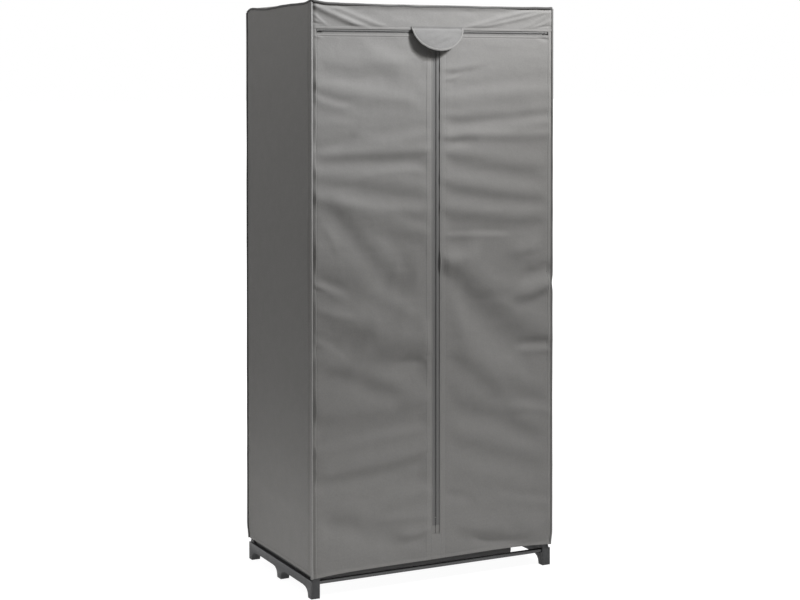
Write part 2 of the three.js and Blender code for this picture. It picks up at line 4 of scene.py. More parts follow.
import bmesh
import bpy
import numpy as np
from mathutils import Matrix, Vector


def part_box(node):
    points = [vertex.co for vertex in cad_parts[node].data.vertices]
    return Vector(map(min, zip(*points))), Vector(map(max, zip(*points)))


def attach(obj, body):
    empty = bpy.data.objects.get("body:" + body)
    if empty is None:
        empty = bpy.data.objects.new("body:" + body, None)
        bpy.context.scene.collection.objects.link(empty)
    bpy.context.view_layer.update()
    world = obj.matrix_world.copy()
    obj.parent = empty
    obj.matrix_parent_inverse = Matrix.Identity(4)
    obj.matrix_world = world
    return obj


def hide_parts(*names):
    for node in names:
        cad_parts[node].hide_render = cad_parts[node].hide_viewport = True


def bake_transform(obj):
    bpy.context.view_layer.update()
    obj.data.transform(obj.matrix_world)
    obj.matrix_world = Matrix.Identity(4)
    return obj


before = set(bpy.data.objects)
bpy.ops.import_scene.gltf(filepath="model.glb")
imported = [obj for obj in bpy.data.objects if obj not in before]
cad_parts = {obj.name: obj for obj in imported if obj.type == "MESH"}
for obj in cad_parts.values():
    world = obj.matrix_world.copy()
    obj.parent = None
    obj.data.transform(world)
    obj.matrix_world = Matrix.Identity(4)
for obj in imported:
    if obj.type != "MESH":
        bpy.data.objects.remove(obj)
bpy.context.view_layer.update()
scene = bpy.context.scene
scene.view_settings.view_transform = "Standard"


# Camera: a short telephoto lens at the height of the doors' upper part, off to the wardrobe's left.
# It looks almost level and is shifted down, so upright edges stay upright as in the photograph.
camera_lens = bpy.data.cameras.new("camera")
camera_lens.sensor_width = 36
camera_lens.lens = 77.63
camera_lens.shift_y = -0.231
camera = bpy.data.objects.new("camera", camera_lens)
camera.location = (-2.227, -4.431, 1.400)
camera.rotation_euler = (math.radians(88.73), 0, math.radians(-26.73))
scene.collection.objects.link(camera)
scene.camera = camera


# Cover front: two halves of grey non-woven cloth, each cut in one piece from the corner piping to
# the zip. The inner edge and the top are sewn to zip tapes, so each half opens as a door, and a
# topstitched strip beside the piping stays on the frame.
both_sides = (("left", -1), ("right", 1))
cloth_thickness = 0.0012
box_half_width = 0.375
front_face = -0.230
seam_edge = 0.3725
topstitch = 0.3600
fold_line = 0.3610
door_edge = 0.0120
zip_stitches = (0.0155, 0.0300)
door_bottom = 0.15775
door_top = 1.5185
top_stitches = (0.0030, 0.0095)
strip_top = 1.5287
double_lift = 0.0004
double_slope = 0.0016
front_step = 0.0042
hem_drawn_in = 0.0026
hem_bottom = 0.058
hem_depth = 0.0095

# The front hem hangs lowest at its ends: places across and up in millimetres
hem_line = [
    (-369, 56), (-320, 59), (-230, 62.5), (-109, 64), (15, 64.5), (143, 65.4), (260, 66.2), (369, 60),
]

# Height and half width in millimetres, the form, and the line's points in millimetres from the
# lower left corner of the front. These two tables aren't placed by hand: a fitting program moved
# a first list that was, and added folds, until their shading agreed with the photograph's.
left_creases = [
    (2.6, 4, "fold", [(-12, 1514), (15, 1509), (42, 1503)]),
    (-1.3, 26, "step", [(124, 1522), (242, 1456), (373, 1389)]),
    (3.3, 30, "fold", [(-81, 1436), (150, 1442), (300, 1444), (421, 1423)]),
    (-2.5, 22, "fold", [(-17, 1435), (80, 1407), (271, 1404)]),
    (4.1, 24, "fold", [(-52, 1379), (150, 1353), (346, 1330)]),
    (-1.7, 11, "step", [(-29, 1369), (60, 1333), (142, 1324)]),
    (1.3, 15, "fold", [(-48, 1292), (40, 1275), (145, 1276)]),
    (-1.7, 16, "step", [(152, 1219), (301, 1246), (472, 1276)]),
    (-4.4, 19, "fold", [(-101, 1258), (40, 1206), (151, 1268)]),
    (3.3, 16, "step", [(-23, 1183), (120, 1181), (250, 1184), (451, 1185)]),
    (-1.1, 11, "step", [(114, 1128), (227, 1150), (372, 1144)]),
    (2.5, 23, "step", [(-116, 1122), (100, 1111), (200, 1099), (378, 1068)]),
    (5.0, 23, "fold", [(-136, 1127), (60, 1069), (200, 1038), (405, 1056)]),
    (-1.8, 18, "fold", [(221, 1046), (305, 1010), (412, 966)]),
    (2.7, 25, "step", [(134, 1008), (269, 968), (400, 950)]),
    (1.1, 13, "fold", [(4, 986), (30, 996), (98, 861)]),
    (3.4, 29, "step", [(26, 1038), (120, 997), (160, 950), (210, 887), (316, 853)]),
    (2.8, 40, "step", [(-41, 892), (100, 853), (208, 837)]),
    (1.6, 6, "step", [(-147, 890), (20, 834), (67, 822)]),
    (-6.1, 45, "fold", [(183, 822), (240, 873), (324, 839)]),
    (-3.1, 13, "step", [(-13, 858), (40, 839), (120, 810)]),
    (2.8, 14, "fold", [(-19, 795), (30, 773), (150, 743)]),
    (-5.5, 42, "step", [(137, 734), (230, 767), (320, 804)]),
    (3.1, 25, "fold", [(118, 827), (240, 789), (383, 681)]),
    (4.3, 30, "step", [(14, 714), (80, 720), (150, 708), (231, 702)]),
    (-1.1, 11, "step", [(-169, 740), (30, 691), (124, 629)]),
    (-4.3, 30, "fold", [(-167, 688), (60, 660), (151, 644)]),
    (7.4, 36, "step", [(108, 634), (250, 645), (320, 640), (413, 598)]),
    (-3.1, 12, "fold", [(220, 605), (320, 617), (406, 594)]),
    (5.1, 25, "step", [(-4, 602), (60, 613), (140, 588), (299, 542)]),
    (4.5, 28, "step", [(-26, 487), (150, 477), (300, 490), (453, 499)]),
    (-2.3, 13, "step", [(-118, 385), (150, 421), (536, 451)]),
    (6.3, 22, "step", [(-13, 310), (120, 328), (230, 336), (407, 389)]),
    (-5.8, 19, "step", [(199, 233), (311, 273), (459, 242)]),
    (4.1, 16, "fold", [(166, 194), (230, 192), (406, 189)]),
    (3.1, 24, "step", [(-5, 192), (60, 209), (183, 167)]),
    (-6.9, 36, "fold", [(-2, 220), (150, 163), (298, 108)]),
    (4.1, 13, "step", [(236, 134), (316, 133), (407, 160)]),
]
right_creases = [
    (-4.0, 5, "fold", [(690, 1514), (720, 1509), (748, 1502)]),
    (1.5, 9, "step", [(288, 1412), (430, 1415), (541, 1434)]),
    (2.4, 6, "fold", [(247, 1425), (420, 1395), (482, 1417)]),
    (-2.1, 19, "step", [(276, 1369), (450, 1357), (600, 1370), (905, 1361)]),
    (1.8, 13, "step", [(296, 1286), (500, 1285), (620, 1293), (881, 1313)]),
    (-3.0, 28, "fold", [(380, 1245), (552, 1287), (688, 1316)]),
    (3.9, 17, "fold", [(596, 1253), (659, 1262), (793, 1276)]),
    (4.6, 16, "fold", [(357, 1225), (480, 1240), (620, 1237), (791, 1249)]),
    (-5.6, 17, "fold", [(313, 1201), (420, 1216), (515, 1223)]),
    (3.0, 23, "step", [(329, 1192), (450, 1173), (560, 1152), (734, 1134)]),
    (3.0, 19, "step", [(258, 1113), (450, 1089), (560, 1071), (750, 1054)]),
    (3.5, 21, "step", [(279, 1013), (450, 1012), (560, 998), (754, 1007)]),
    (-1.5, 8, "step", [(294, 963), (470, 965), (632, 956)]),
    (6.1, 22, "fold", [(588, 908), (681, 915), (729, 931)]),
    (-6.2, 33, "step", [(355, 903), (430, 899), (501, 898)]),
    (7.0, 25, "fold", [(323, 879), (441, 895), (526, 912)]),
    (-6.2, 22, "step", [(617, 807), (696, 821), (875, 864)]),
    (2.9, 16, "step", [(589, 780), (680, 775), (780, 829)]),
    (1.6, 17, "step", [(451, 783), (553, 794), (643, 803)]),
    (4.6, 36, "step", [(342, 872), (440, 859), (530, 783), (610, 712), (788, 644)]),
    (-5.5, 41, "step", [(417, 765), (562, 624), (700, 551)]),
    (-3.9, 12, "step", [(615, 631), (690, 633), (818, 619)]),
    (2.1, 24, "step", [(374, 602), (430, 622), (500, 581), (607, 502)]),
    (3.5, 45, "step", [(436, 512), (540, 508), (698, 580)]),
    (3.8, 27, "step", [(623, 509), (720, 496), (748, 492)]),
    (5.4, 17, "fold", [(587, 465), (720, 451), (777, 434)]),
    (4.2, 28, "step", [(406, 513), (480, 475), (580, 448), (680, 396), (746, 382)]),
    (3.6, 28, "step", [(400, 390), (560, 352), (660, 318), (749, 301)]),
    (3.6, 25, "fold", [(431, 325), (537, 283), (659, 278)]),
    (-3.5, 16, "fold", [(329, 239), (430, 234), (517, 208)]),
    (-1.6, 13, "step", [(547, 230), (640, 208), (824, 174)]),
    (3.9, 20, "step", [(420, 140), (510, 119), (625, 110)]),
    (7.8, 35, "fold", [(605, 110), (672, 119), (740, 127)]),
    (-5.8, 13, "fold", [(474, 117), (590, 87), (687, 91)]),
]


def soft(share):
    """Eases a share from 0 to 1, at a flat start and end"""
    share = np.clip(share, 0, 1)
    return share * share * (3 - 2 * share)


def creased(across, up, creases):
    """How far creases lift the cloth at points in metres from the front's lower left corner.
    A fold stands up along its line, and a step slopes across it."""
    lift = np.zeros_like(across)
    for height, half_width, form, line in creases:
        xs, zs = np.array(line, float).T / 1000
        curve = np.polyfit(xs, zs, len(line) - 1)
        held = np.clip(across, xs[0], xs[-1])
        slope = np.polyval(np.polyder(curve), held)
        away = (up - np.polyval(curve, held)) / np.hypot(1, slope) / (half_width / 1000)
        fade = min(0.06, (xs[-1] - xs[0]) / 2)
        ends = soft((across - xs[0]) / fade) * soft((xs[-1] - across) / fade)
        shape = np.exp(-away**2) if form == "fold" else away * np.exp((1 - away**2) / 2)
        lift += height / 1000 * ends * shape
    return lift


def ripple(across, up, size, seed):
    """Smooth random hills from -1 to 1, about one size apart across and up"""
    heights = np.random.default_rng(seed).uniform(-1, 1, (160, 160))
    column, row = across / size[0] + 60, up / size[1] + 4
    left, low = np.floor(column).astype(int), np.floor(row).astype(int)
    s, t = soft(column - left), soft(row - low)
    below = heights[low, left] * (1 - s) + heights[low, left + 1] * s
    above = heights[low + 1, left] * (1 - s) + heights[low + 1, left + 1] * s
    return below * (1 - t) + above * t


def spread(start, end, step, lines=()):
    """Places from start to end one step apart, and closer together at the lines of stitches"""
    places = np.linspace(start, end, round(abs(end - start) / step) + 1)
    for line in lines:
        places = places[np.abs(places - line) > 0.0035]
        places = np.append(places, line + np.linspace(-0.0027, 0.0027, 7))
    places = places[(places >= min(start, end)) & (places <= max(start, end))]
    return np.unique(np.append(places, [start, end]))


def placed(*places):
    """Points from their places across, back and up, or across and up on the flat cloth"""
    return np.stack(np.broadcast_arrays(*places), -1)


def middles(places):
    """The places of the middles of a grid's squares"""
    return (places[:-1, :-1] + places[1:, 1:]) / 2


def sewn(distance):
    """The groove that a row of stitches pulls into the cloth, by distance from the row"""
    return -0.0005 * np.exp(-((distance / 0.0009) ** 2))


def seam_valley(distance, depth=0.0026):
    """The dip of the cloth beside a piping, by distance from the seam"""
    return -depth * np.exp(-((distance / 0.0055) ** 2))


def front_hem(x):
    """The height of the front's hem at places across"""
    xs, zs = np.array(hem_line, float).T / 1000
    return np.polyval(np.polyfit(xs, zs, 4), x)


def front_lift(x, z):
    """How far the front stands out from its flat face at each point"""
    across = x + box_half_width
    folds = np.where(x < 0, creased(across, z, left_creases), creased(across, z, right_creases))
    folds += 0.0005 * ripple(x, z, (0.16, 0.035), 3) + 0.0003 * ripple(x, z, (0.06, 0.016), 5)
    wide = np.abs(x)

    # The folds fade towards the seams, the zip, the header and the hem, and don't sink behind
    # the zip tape
    by_seam, by_zip = soft((seam_edge - wide) / 0.012), 0.4 + 0.6 * soft((wide - 0.014) / 0.024)
    by_header = soft((door_top + 0.002 - z) / 0.024)
    by_hem = soft((z - hem_bottom + 0.01) / 0.04)
    folds *= by_seam * by_zip
    folds *= by_header * by_hem
    hollow_by_zip = 0.2 + 0.8 * soft((wide - 0.018) / 0.040)
    deepest = 0.0008 + 0.012 * soft((wide - 0.022) / 0.034)
    folds = np.maximum(np.where(folds < 0, folds * hollow_by_zip, folds), -deepest)

    double = soft((wide - topstitch) / double_slope)
    double += (1 - soft((wide - zip_stitches[1]) / double_slope)) * (z > 0.1)
    double += soft((z - door_top + top_stitches[1]) / double_slope) * (wide < topstitch)
    rows = sewn(wide - topstitch)
    rows += sum(sewn(wide - line) for line in zip_stitches)
    rows += sum(sewn(z - door_top + line) for line in top_stitches) * (wide < topstitch)
    rows += sewn(z - front_hem(x) - hem_depth)
    left_depth = 0.0026 + 0.0026 * soft((1.15 - z) / 0.35)
    valley = seam_valley(x + seam_edge, left_depth) + seam_valley(x - seam_edge, 0.0010)
    flare = 0.0016 * soft((front_hem(x) + 0.014 - z) / 0.014)
    return folds + double_lift * double + rows + valley + flare


def drawn_in(z, hem):
    """How far the cover pulls in towards its hem"""
    return hem_drawn_in * soft((hem + 0.045 - z) / 0.045)


def node(tree, kind, inputs=None, **settings):
    """Adds a node to a tree. Its inputs are values or the outputs of other nodes."""
    made = tree.nodes.new(kind)
    for name, value in settings.items():
        setattr(made, name, value)
    for name, value in (inputs or {}).items():
        if isinstance(value, bpy.types.NodeSocket):
            tree.links.new(value, made.inputs[name])
        else:
            made.inputs[name].default_value = value
    return made


def new_material(name, colour, roughness):
    """A material with one even colour and gloss, for nodes to vary"""
    material = bpy.data.materials.new(name)
    material.use_nodes = True
    skin = material.node_tree.nodes["Principled BSDF"]
    skin.inputs["Base Color"].default_value = (*colour, 1)
    skin.inputs["Roughness"].default_value = roughness
    material.diffuse_color = (*colour, 1)
    return material, material.node_tree, skin


def noise(tree, place, scale, detail, **inputs):
    """A cloudy pattern over a piece's own coordinates"""
    return node(tree, "ShaderNodeTexNoise", {
        "Vector": place, "Scale": scale, "Detail": detail, **inputs,
    }).outputs[0]


def bumps(tree, height, strength, distance, **inputs):
    """The small hills that a pattern gives a surface"""
    return node(tree, "ShaderNodeBump", {
        "Height": height, "Strength": strength, "Distance": distance, **inputs,
    }).outputs[0]


def varied(skin, *patterns):
    """Makes a colour lighter and darker by patterns, each with its lowest and highest share"""
    tree, shade = skin.id_data, None
    for pattern, low, high in patterns:
        share = node(tree, "ShaderNodeMapRange", {
            "Value": pattern, "From Min": 0.3, "From Max": 0.7, "To Min": low, "To Max": high,
        }).outputs[0]
        shade = share if shade is None else node(
            tree, "ShaderNodeMath", {0: shade, 1: share}, operation="MULTIPLY",
        ).outputs[0]
    grey = node(tree, "ShaderNodeCombineColor", {"Red": shade, "Green": shade, "Blue": shade})
    mixed = node(
        tree, "ShaderNodeMix",
        {0: 1.0, 6: tuple(skin.inputs["Base Color"].default_value), 7: grey.outputs[0]},
        data_type="RGBA", blend_type="MULTIPLY",
    )
    tree.links.new(mixed.outputs[2], skin.inputs["Base Color"])


def nonwoven(name, colour):
    """Spun-bonded cloth: matted fibres, pressed together in rows of small points"""
    material, tree, skin = new_material(name, colour, 0.82)
    flat = node(tree, "ShaderNodeUVMap", uv_map="flat_cloth").outputs[0]
    fibres = noise(tree, flat, 900, 3, Distortion=1.6)
    turned = node(tree, "ShaderNodeMapping", {"Vector": flat, "Rotation": (0, 0, math.pi / 4)})
    points = node(tree, "ShaderNodeTexVoronoi", {
        "Vector": turned.outputs[0], "Scale": 640, "Randomness": 0.08,
    }).outputs[0]
    layers = node(tree, "ShaderNodeAttribute", attribute_name="layers").outputs["Fac"]
    varied(
        skin, (noise(tree, flat, 26, 5, Roughness=0.62), 0.97, 1.03),
        (noise(tree, flat, 210, 3, Roughness=0.7), 0.95, 1.05), (fibres, 0.95, 1.05),
        (points, 0.99, 1.02), (layers, 0.985, 1.035),
    )
    grain = node(tree, "ShaderNodeMath", {0: points, 1: fibres}, operation="ADD").outputs[0]
    crumple = bumps(tree, noise(tree, flat, 48, 3), 0.5, 0.0012)
    tree.links.new(bumps(tree, grain, 0.5, 0.0002, Normal=crumple), skin.inputs["Normal"])
    skin.inputs["Specular IOR Level"].default_value = 0.3
    skin.inputs["Sheen Weight"].default_value = 0.08
    skin.inputs["Sheen Roughness"].default_value = 0.5
    return material


cover_cloth = nonwoven("cover_cloth", (0.210, 0.205, 0.197))


def made_plain(piece):
    """Turns a piece's modifiers into its mesh"""
    bpy.context.view_layer.update()
    plain = bpy.data.meshes.new_from_object(
        piece.evaluated_get(bpy.context.evaluated_depsgraph_get()),
    )
    piece.modifiers.clear()
    piece.data = plain
    return piece


def new_piece(name, points, faces, flat, material):
    """A smooth piece with its place on the flat cloth, or along a tape, as its UV map"""
    mesh = bpy.data.meshes.new(name)
    mesh.from_pydata(points.tolist(), [], faces.tolist())
    corners = np.empty(len(mesh.loops), int)
    mesh.loops.foreach_get("vertex_index", corners)
    layer = mesh.uv_layers.new(name="flat_cloth")
    layer.data.foreach_set("uv", flat[corners].astype(np.float32).ravel())
    mesh.polygons.foreach_set("use_smooth", [True] * len(mesh.polygons))
    mesh.materials.append(material)
    piece = bpy.data.objects.new(name, mesh)
    scene.collection.objects.link(piece)
    return piece


def cloth_sheet(
    name, face, flat, keep=None, layers=None, thickness=cloth_thickness, material=cover_cloth,
):
    """A sheet of cloth from the points of its outer face, left to right and from the bottom up,
    with its thickness behind. Keep says which of its squares are there, and layers which of its
    points lie on doubled cloth."""
    rows, columns = face.shape[:2]
    at = np.arange(rows * columns).reshape(rows, columns)
    squares = np.stack([at[:-1, :-1], at[:-1, 1:], at[1:, 1:], at[1:, :-1]], -1)
    squares = squares.reshape(-1, 4) if keep is None else squares[keep]
    used, squares = np.unique(squares, return_inverse=True)
    squares = squares.reshape(-1, 4)
    piece = new_piece(
        name, face.reshape(-1, 3)[used], squares, flat.reshape(-1, 2)[used], material,
    )
    share = np.zeros(len(used)) if layers is None else layers.ravel()[used].astype(float)
    attribute = piece.data.attributes.new("layers", "FLOAT", "POINT")
    attribute.data.foreach_set("value", (0.3 + 0.4 * share).astype(np.float32))
    wall = piece.modifiers.new("thickness", "SOLIDIFY")
    wall.thickness = thickness
    wall.offset = -1
    made_plain(piece)
    piece.data.set_sharp_from_angle(angle=math.radians(55))
    return piece


def front_point(x, z):
    """The front's points for places across and up, with its folds and its drawn-in hem"""
    pull = drawn_in(z, hem_bottom)
    return placed(x * (1 - pull / seam_edge), front_face + pull - front_lift(x, z), z)


def fitted(piece, slot, *node_names, body="cover_and_frame"):
    """Puts a piece on its body, in place of the solids that it stands for"""
    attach(piece, body)
    if node_names:
        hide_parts(*node_names)


def swings(piece):
    """Bakes a piece's place into its mesh"""
    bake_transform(piece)


for side_name, side in both_sides:
    lines = [side * line for line in (*zip_stitches, topstitch)]
    across = spread(side * door_edge, side * seam_edge, front_step, lines)
    up = spread(door_bottom, strip_top, front_step, [door_top - line for line in top_stitches])
    up = np.unique(np.append(up, door_top))
    x, z = np.meshgrid(across, up)
    double = (np.abs(x) > topstitch) | (np.abs(x) < zip_stitches[1]) | (z > door_top - top_stitches[1])
    half = cloth_sheet(
        f"cover_front_{side_name}", front_point(x, z), placed(x, z),
        (middles(z) < door_top) | (np.abs(middles(x)) > fold_line), double,
    )
    swings(half)
    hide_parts(f"door_{side_name}", f"front_edge_{side_name}")


# Skirt: the front's lowest part, which never opens. One strip of the same cloth joins both
# corners under the doors, with a turned-up hem and a slot above for the zip slider.
slot_bottom = 0.1357
skirt_top = 0.1577

across = spread(-seam_edge, seam_edge, front_step, [
    side * line for side in (-1, 1) for line in (*zip_stitches, topstitch)
])
across = np.unique(np.append(across, [-door_edge, door_edge]))
x, share = np.meshgrid(across, spread(0, 1, 0.035))
bottom = front_hem(x)
z = bottom + (skirt_top - bottom) * share
skirt = cloth_sheet(
    "cover_skirt", front_point(x, z), placed(x, z),
    (np.abs(middles(x)) > door_edge) | (middles(z) < slot_bottom),
    (z < bottom + hem_depth) | (np.abs(x) < zip_stitches[1]) | (np.abs(x) > topstitch),
)
fitted(skirt, "cover_cloth", "skirt")
2 * seam_edge * (skirt_top - float(front_hem(across).mean()))


# Header: the band over the doors, between the top piping and the level zip. It is drawn tight
# from its upper corners, which pulls slanting folds into both ends.
header_bottom = 1.5290
header_top = 1.5942
header_hem = 0.0070
back_edge = 0.230
header_creases = [
    (4.6, 9, "fold", [(-60, 1612), (10, 1586), (55, 1571), (95, 1556), (200, 1518)]),
    (2.3, 8, "fold", [(-50, 1608), (85, 1580), (135, 1563), (260, 1520)]),
    (1.9, 4, "fold", [(-40, 1590), (5, 1565), (25, 1551), (80, 1522)]),
    (1.5, 4, "fold", [(-50, 1590), (5, 1552), (20, 1545), (70, 1524)]),
    (-1.2, 3, "fold", [(-30, 1546), (15, 1542), (60, 1540)]),
    (2.7, 7, "fold", [(420, 1521), (525, 1551), (625, 1577), (790, 1604)]),
    (2.4, 6, "fold", [(470, 1530), (575, 1551), (675, 1573), (800, 1602)]),
    (1.6, 6, "fold", [(600, 1521), (685, 1550), (740, 1582), (790, 1616)]),
    (1.8, 5, "fold", [(620, 1520), (685, 1538), (740, 1558), (800, 1584)]),
    (-1.2, 3, "fold", [(670, 1538), (725, 1543), (800, 1552)]),
]

# The front's top edge: places across and how far down, in millimetres
top_edge = [
    (-380, 1), (-345, 0), (-300, 0.5), (-250, 1.5), (-200, 2), (-150, 4.5), (-100, 2.5), (-50, 5),
    (0, 3), (90, 2.5), (150, 4), (200, 2.5), (250, 3), (300, 1.5), (350, 1), (380, 1),
]


def front_droop(x):
    """How far the front's top edge hangs at places across"""
    xs, drops = np.array(top_edge, float).T / 1000
    return sum(np.interp(x + aside, xs, drops) for aside in (-0.012, 0, 0.012)) / 3


def corner_droop(x, y):
    """How far the back left corner hangs, and the front left corner stands up"""
    back = np.exp(-(((x + box_half_width) ** 2 + (y - back_edge) ** 2) / 0.020**2))
    front = np.exp(-(((x + box_half_width) ** 2 + (y - front_face) ** 2) / 0.030**2))
    return 0.0085 * back - 0.0065 * front


def side_droop(y):
    """How far the sides' top edges hang between their corners"""
    return 0.0055 * np.exp(-(((y - 0.08) / 0.09) ** 2))


x, z = np.meshgrid(
    spread(-seam_edge, seam_edge, 0.0036),
    spread(header_bottom, header_top, 0.0018, [header_bottom + header_hem]),
)
lift = creased(x + box_half_width, z, header_creases) + 0.0005 * ripple(x, z, (0.05, 0.016), 17)
lift *= soft((seam_edge - np.abs(x)) / 0.008) * soft((header_top - 0.002 - z) / 0.010)
lift *= soft((z - header_bottom - 0.002) / 0.014)
lift += double_lift * (1 - soft((z - header_bottom - header_hem) / double_slope))
lift += sewn(z - header_bottom - header_hem) + seam_valley(x + seam_edge)
lift += 0.0036 * np.clip((z - header_top + 0.015) / 0.015, 0, 1) ** 2 * soft((0.31 - np.abs(x)) / 0.12)
share = (z - header_bottom) / (header_top - header_bottom)
hung = z - (front_droop(x) + corner_droop(x, front_face)) * share
header = cloth_sheet(
    "cover_header", placed(x, front_face - lift, hung), placed(x, z),
    layers=z < header_bottom + header_hem,
)
fitted(header, "cover_cloth", "header")


# Sides: one plain panel of cloth on each, sewn to the upright pipings and the top piping, with
# a turned-up hem. They hang nearly smooth, with a few long soft waves.
side_face = 0.3765
side_edge = 0.2262
side_hem = 0.061
side_creases = [
    (1.2, 60, "fold", [(-60, 1420), (200, 1400), (520, 1350)]),
    (-1.3, 70, "fold", [(-60, 1180), (220, 1130), (520, 1150)]),
    (1.2, 60, "fold", [(-60, 900), (220, 930), (520, 880)]),
    (-1.2, 60, "fold", [(-60, 640), (220, 600), (520, 640)]),
    (1.2, 50, "fold", [(-60, 380), (220, 350), (520, 400)]),
    (0.8, 20, "step", [(-60, 230), (220, 215), (520, 240)]),
]
side_rise = 0.0023
side_stitches = 0.213
side_step = 0.0065
droop_start = 1.40
droop_height = 0.19
for side_name, side in both_sides:
    y, z = np.meshgrid(
        spread(-side_edge, side_edge, side_step, [side_stitches, -side_stitches]),
        spread(side_hem, header_top, side_step, [side_hem + hem_depth]),
    )
    z += side_rise * (1 - (y / side_edge) ** 2) * soft((0.25 - z) / 0.15)
    above = z - side_hem - side_rise * (1 - (y / side_edge) ** 2)
    lift = creased(y + 0.225, z, side_creases)
    lift += 0.0004 * ripple(y, z, (0.11, 0.06), 21 + side) + 0.0002 * ripple(y, z, (0.04, 0.03), 8)
    lift *= soft((side_edge - np.abs(y)) / 0.02) * soft((header_top - z) / 0.05)
    lift *= soft((z - side_hem) / 0.04)
    lift += sewn(above - hem_depth) + 2 * sewn(np.abs(y) - side_stitches)
    lift += seam_valley(np.abs(y) - side_edge, 0.0020)
    pull = drawn_in(z, side_hem)
    z -= (side_droop(y) + corner_droop(side * box_half_width, y)) * soft((z - droop_start) / droop_height)
    panel = cloth_sheet(
        f"cover_side_{side_name}",
        placed(side * (side_face - pull + lift), y * (1 - pull / side_edge), z)[::, ::side],
        placed(side * y, z)[::, ::side],
        layers=((above < hem_depth) | (np.abs(y) > side_stitches))[::, ::side],
    )
    fitted(panel, "cover_cloth", f"side_panel_{side_name}")


# Back: one wide panel of the same cloth with no opening, hemmed like the sides.
back_face = 0.231
back_step = 0.0075
back_creases = [
    (1.5, 50, "fold", [(-60, 1430), (300, 1390), (810, 1440)]),
    (-1.5, 60, "fold", [(-60, 1200), (380, 1250), (810, 1180)]),
    (1.6, 45, "fold", [(-60, 980), (300, 930), (810, 1010)]),
    (-1.4, 50, "fold", [(-60, 700), (420, 760), (810, 690)]),
    (1.5, 40, "fold", [(-60, 470), (360, 430), (810, 500)]),
    (1.0, 18, "step", [(-60, 250), (360, 230), (810, 262)]),
]
x, z = np.meshgrid(
    spread(-seam_edge, seam_edge, back_step, [topstitch, -topstitch]),
    spread(side_hem, header_top, back_step, [side_hem + hem_depth]),
)
lift = creased(x + box_half_width, z, back_creases) + 0.0004 * ripple(x, z, (0.14, 0.05), 31)
lift *= soft((seam_edge - np.abs(x)) / 0.02) * soft((header_top - z) / 0.05)
lift *= soft((z - side_hem) / 0.04)
lift += sewn(z - side_hem - hem_depth) + sewn(np.abs(x) - topstitch)
lift += seam_valley(np.abs(x) - seam_edge)
pull = drawn_in(z, side_hem)
z -= corner_droop(x, back_edge) * soft((z - droop_start) / droop_height)
back = cloth_sheet(
    "cover_back", placed(x * (1 - pull / seam_edge), back_face - pull + lift, z)[::, ::-1],
    placed(-x, z)[::, ::-1],
    layers=((z < side_hem + hem_depth) | (np.abs(x) > topstitch))[::, ::-1],
)
fitted(back, "cover_cloth", "back_panel")


# Top: a panel laid over the top rails, sagging a little between them. Its front edge dips with
# the piping, in front of the rail.
top_face = 1.5986
top_sag = 0.0045
shoulder_width = 0.010
shoulder_drop = 0.0028
top_creases = [
    (0.8, 14, "step", [(-60, 60), (180, 110), (420, 90)]),
    (0.9, 16, "fold", [(330, 330), (560, 280), (810, 350)]),
    (-0.9, 18, "fold", [(-60, 380), (200, 330), (450, 360)]),
    (0.8, 12, "step", [(380, 120), (600, 160), (810, 90)]),
]


def top_height(x, y):
    """The height of the top's upper face at places across and back"""
    inside = soft((0.335 - np.abs(x)) / 0.30) * soft((0.192 - np.abs(y)) / 0.18)
    lift = creased(x + box_half_width, y - front_face, top_creases) * inside
    lift -= top_sag * inside + front_droop(x) * soft((-y - 0.2140) / 0.0102)
    lift -= side_droop(y) * soft((np.abs(x) - 0.3580) / 0.0145) + corner_droop(x, y)
    shoulder = np.maximum(
        np.abs(x) - seam_edge + shoulder_width, np.abs(y) - side_edge + shoulder_width,
    )
    return top_face + lift - shoulder_drop * soft(shoulder / shoulder_width) ** 2


x, y = np.meshgrid(spread(-seam_edge, seam_edge, 0.0065), spread(-side_edge, side_edge, 0.0055))
top = cloth_sheet("cover_top_panel", placed(x, y, top_height(x, y)), placed(x, y))
fitted(top, "cover_cloth", "cover_top")


# Piping: a cord sewn into a folded strip of the same cloth, in a ring round the top edge and
# down each corner. It stands out along the seams and holds the cover's box shape. Its cloth is
# coloured as painted light and shade: lighter than the cover's at the front left corner as a
# painted highlight, and darker on the ring and the other corners as painted shade.
piping_radius = 0.0036
cord_sides = 12
ring_forward = 0.0020
dent_height = 0.812
dent_depth = 0.0030
corner_x = 0.3750
corner_y = 0.2286
ring_height = 1.5962
piping_top = 1.5937
# Lit and shaded copies of one cloth: the lightest is a painted highlight, the two darker ones painted
# shade
lit_welt_cloth = nonwoven("lit_welt_cloth", (0.270, 0.266, 0.258))
shaded_welt_cloth = nonwoven("shaded_welt_cloth", (0.076, 0.074, 0.072))
shaded_right_welt_cloth = nonwoven("shaded_right_welt_cloth", (0.165, 0.162, 0.156))


def faced_outwards(piece, sharp_angle, filled=False):
    """Points a piece's faces outwards, with its open ends filled first if asked"""
    shape = bmesh.new()
    shape.from_mesh(piece.data)
    if filled:
        bmesh.ops.holes_fill(shape, edges=[edge for edge in shape.edges if edge.is_boundary])
    bmesh.ops.recalc_face_normals(shape, faces=shape.faces)
    shape.to_mesh(piece.data)
    shape.free()
    piece.data.set_sharp_from_angle(angle=math.radians(sharp_angle))
    return piece


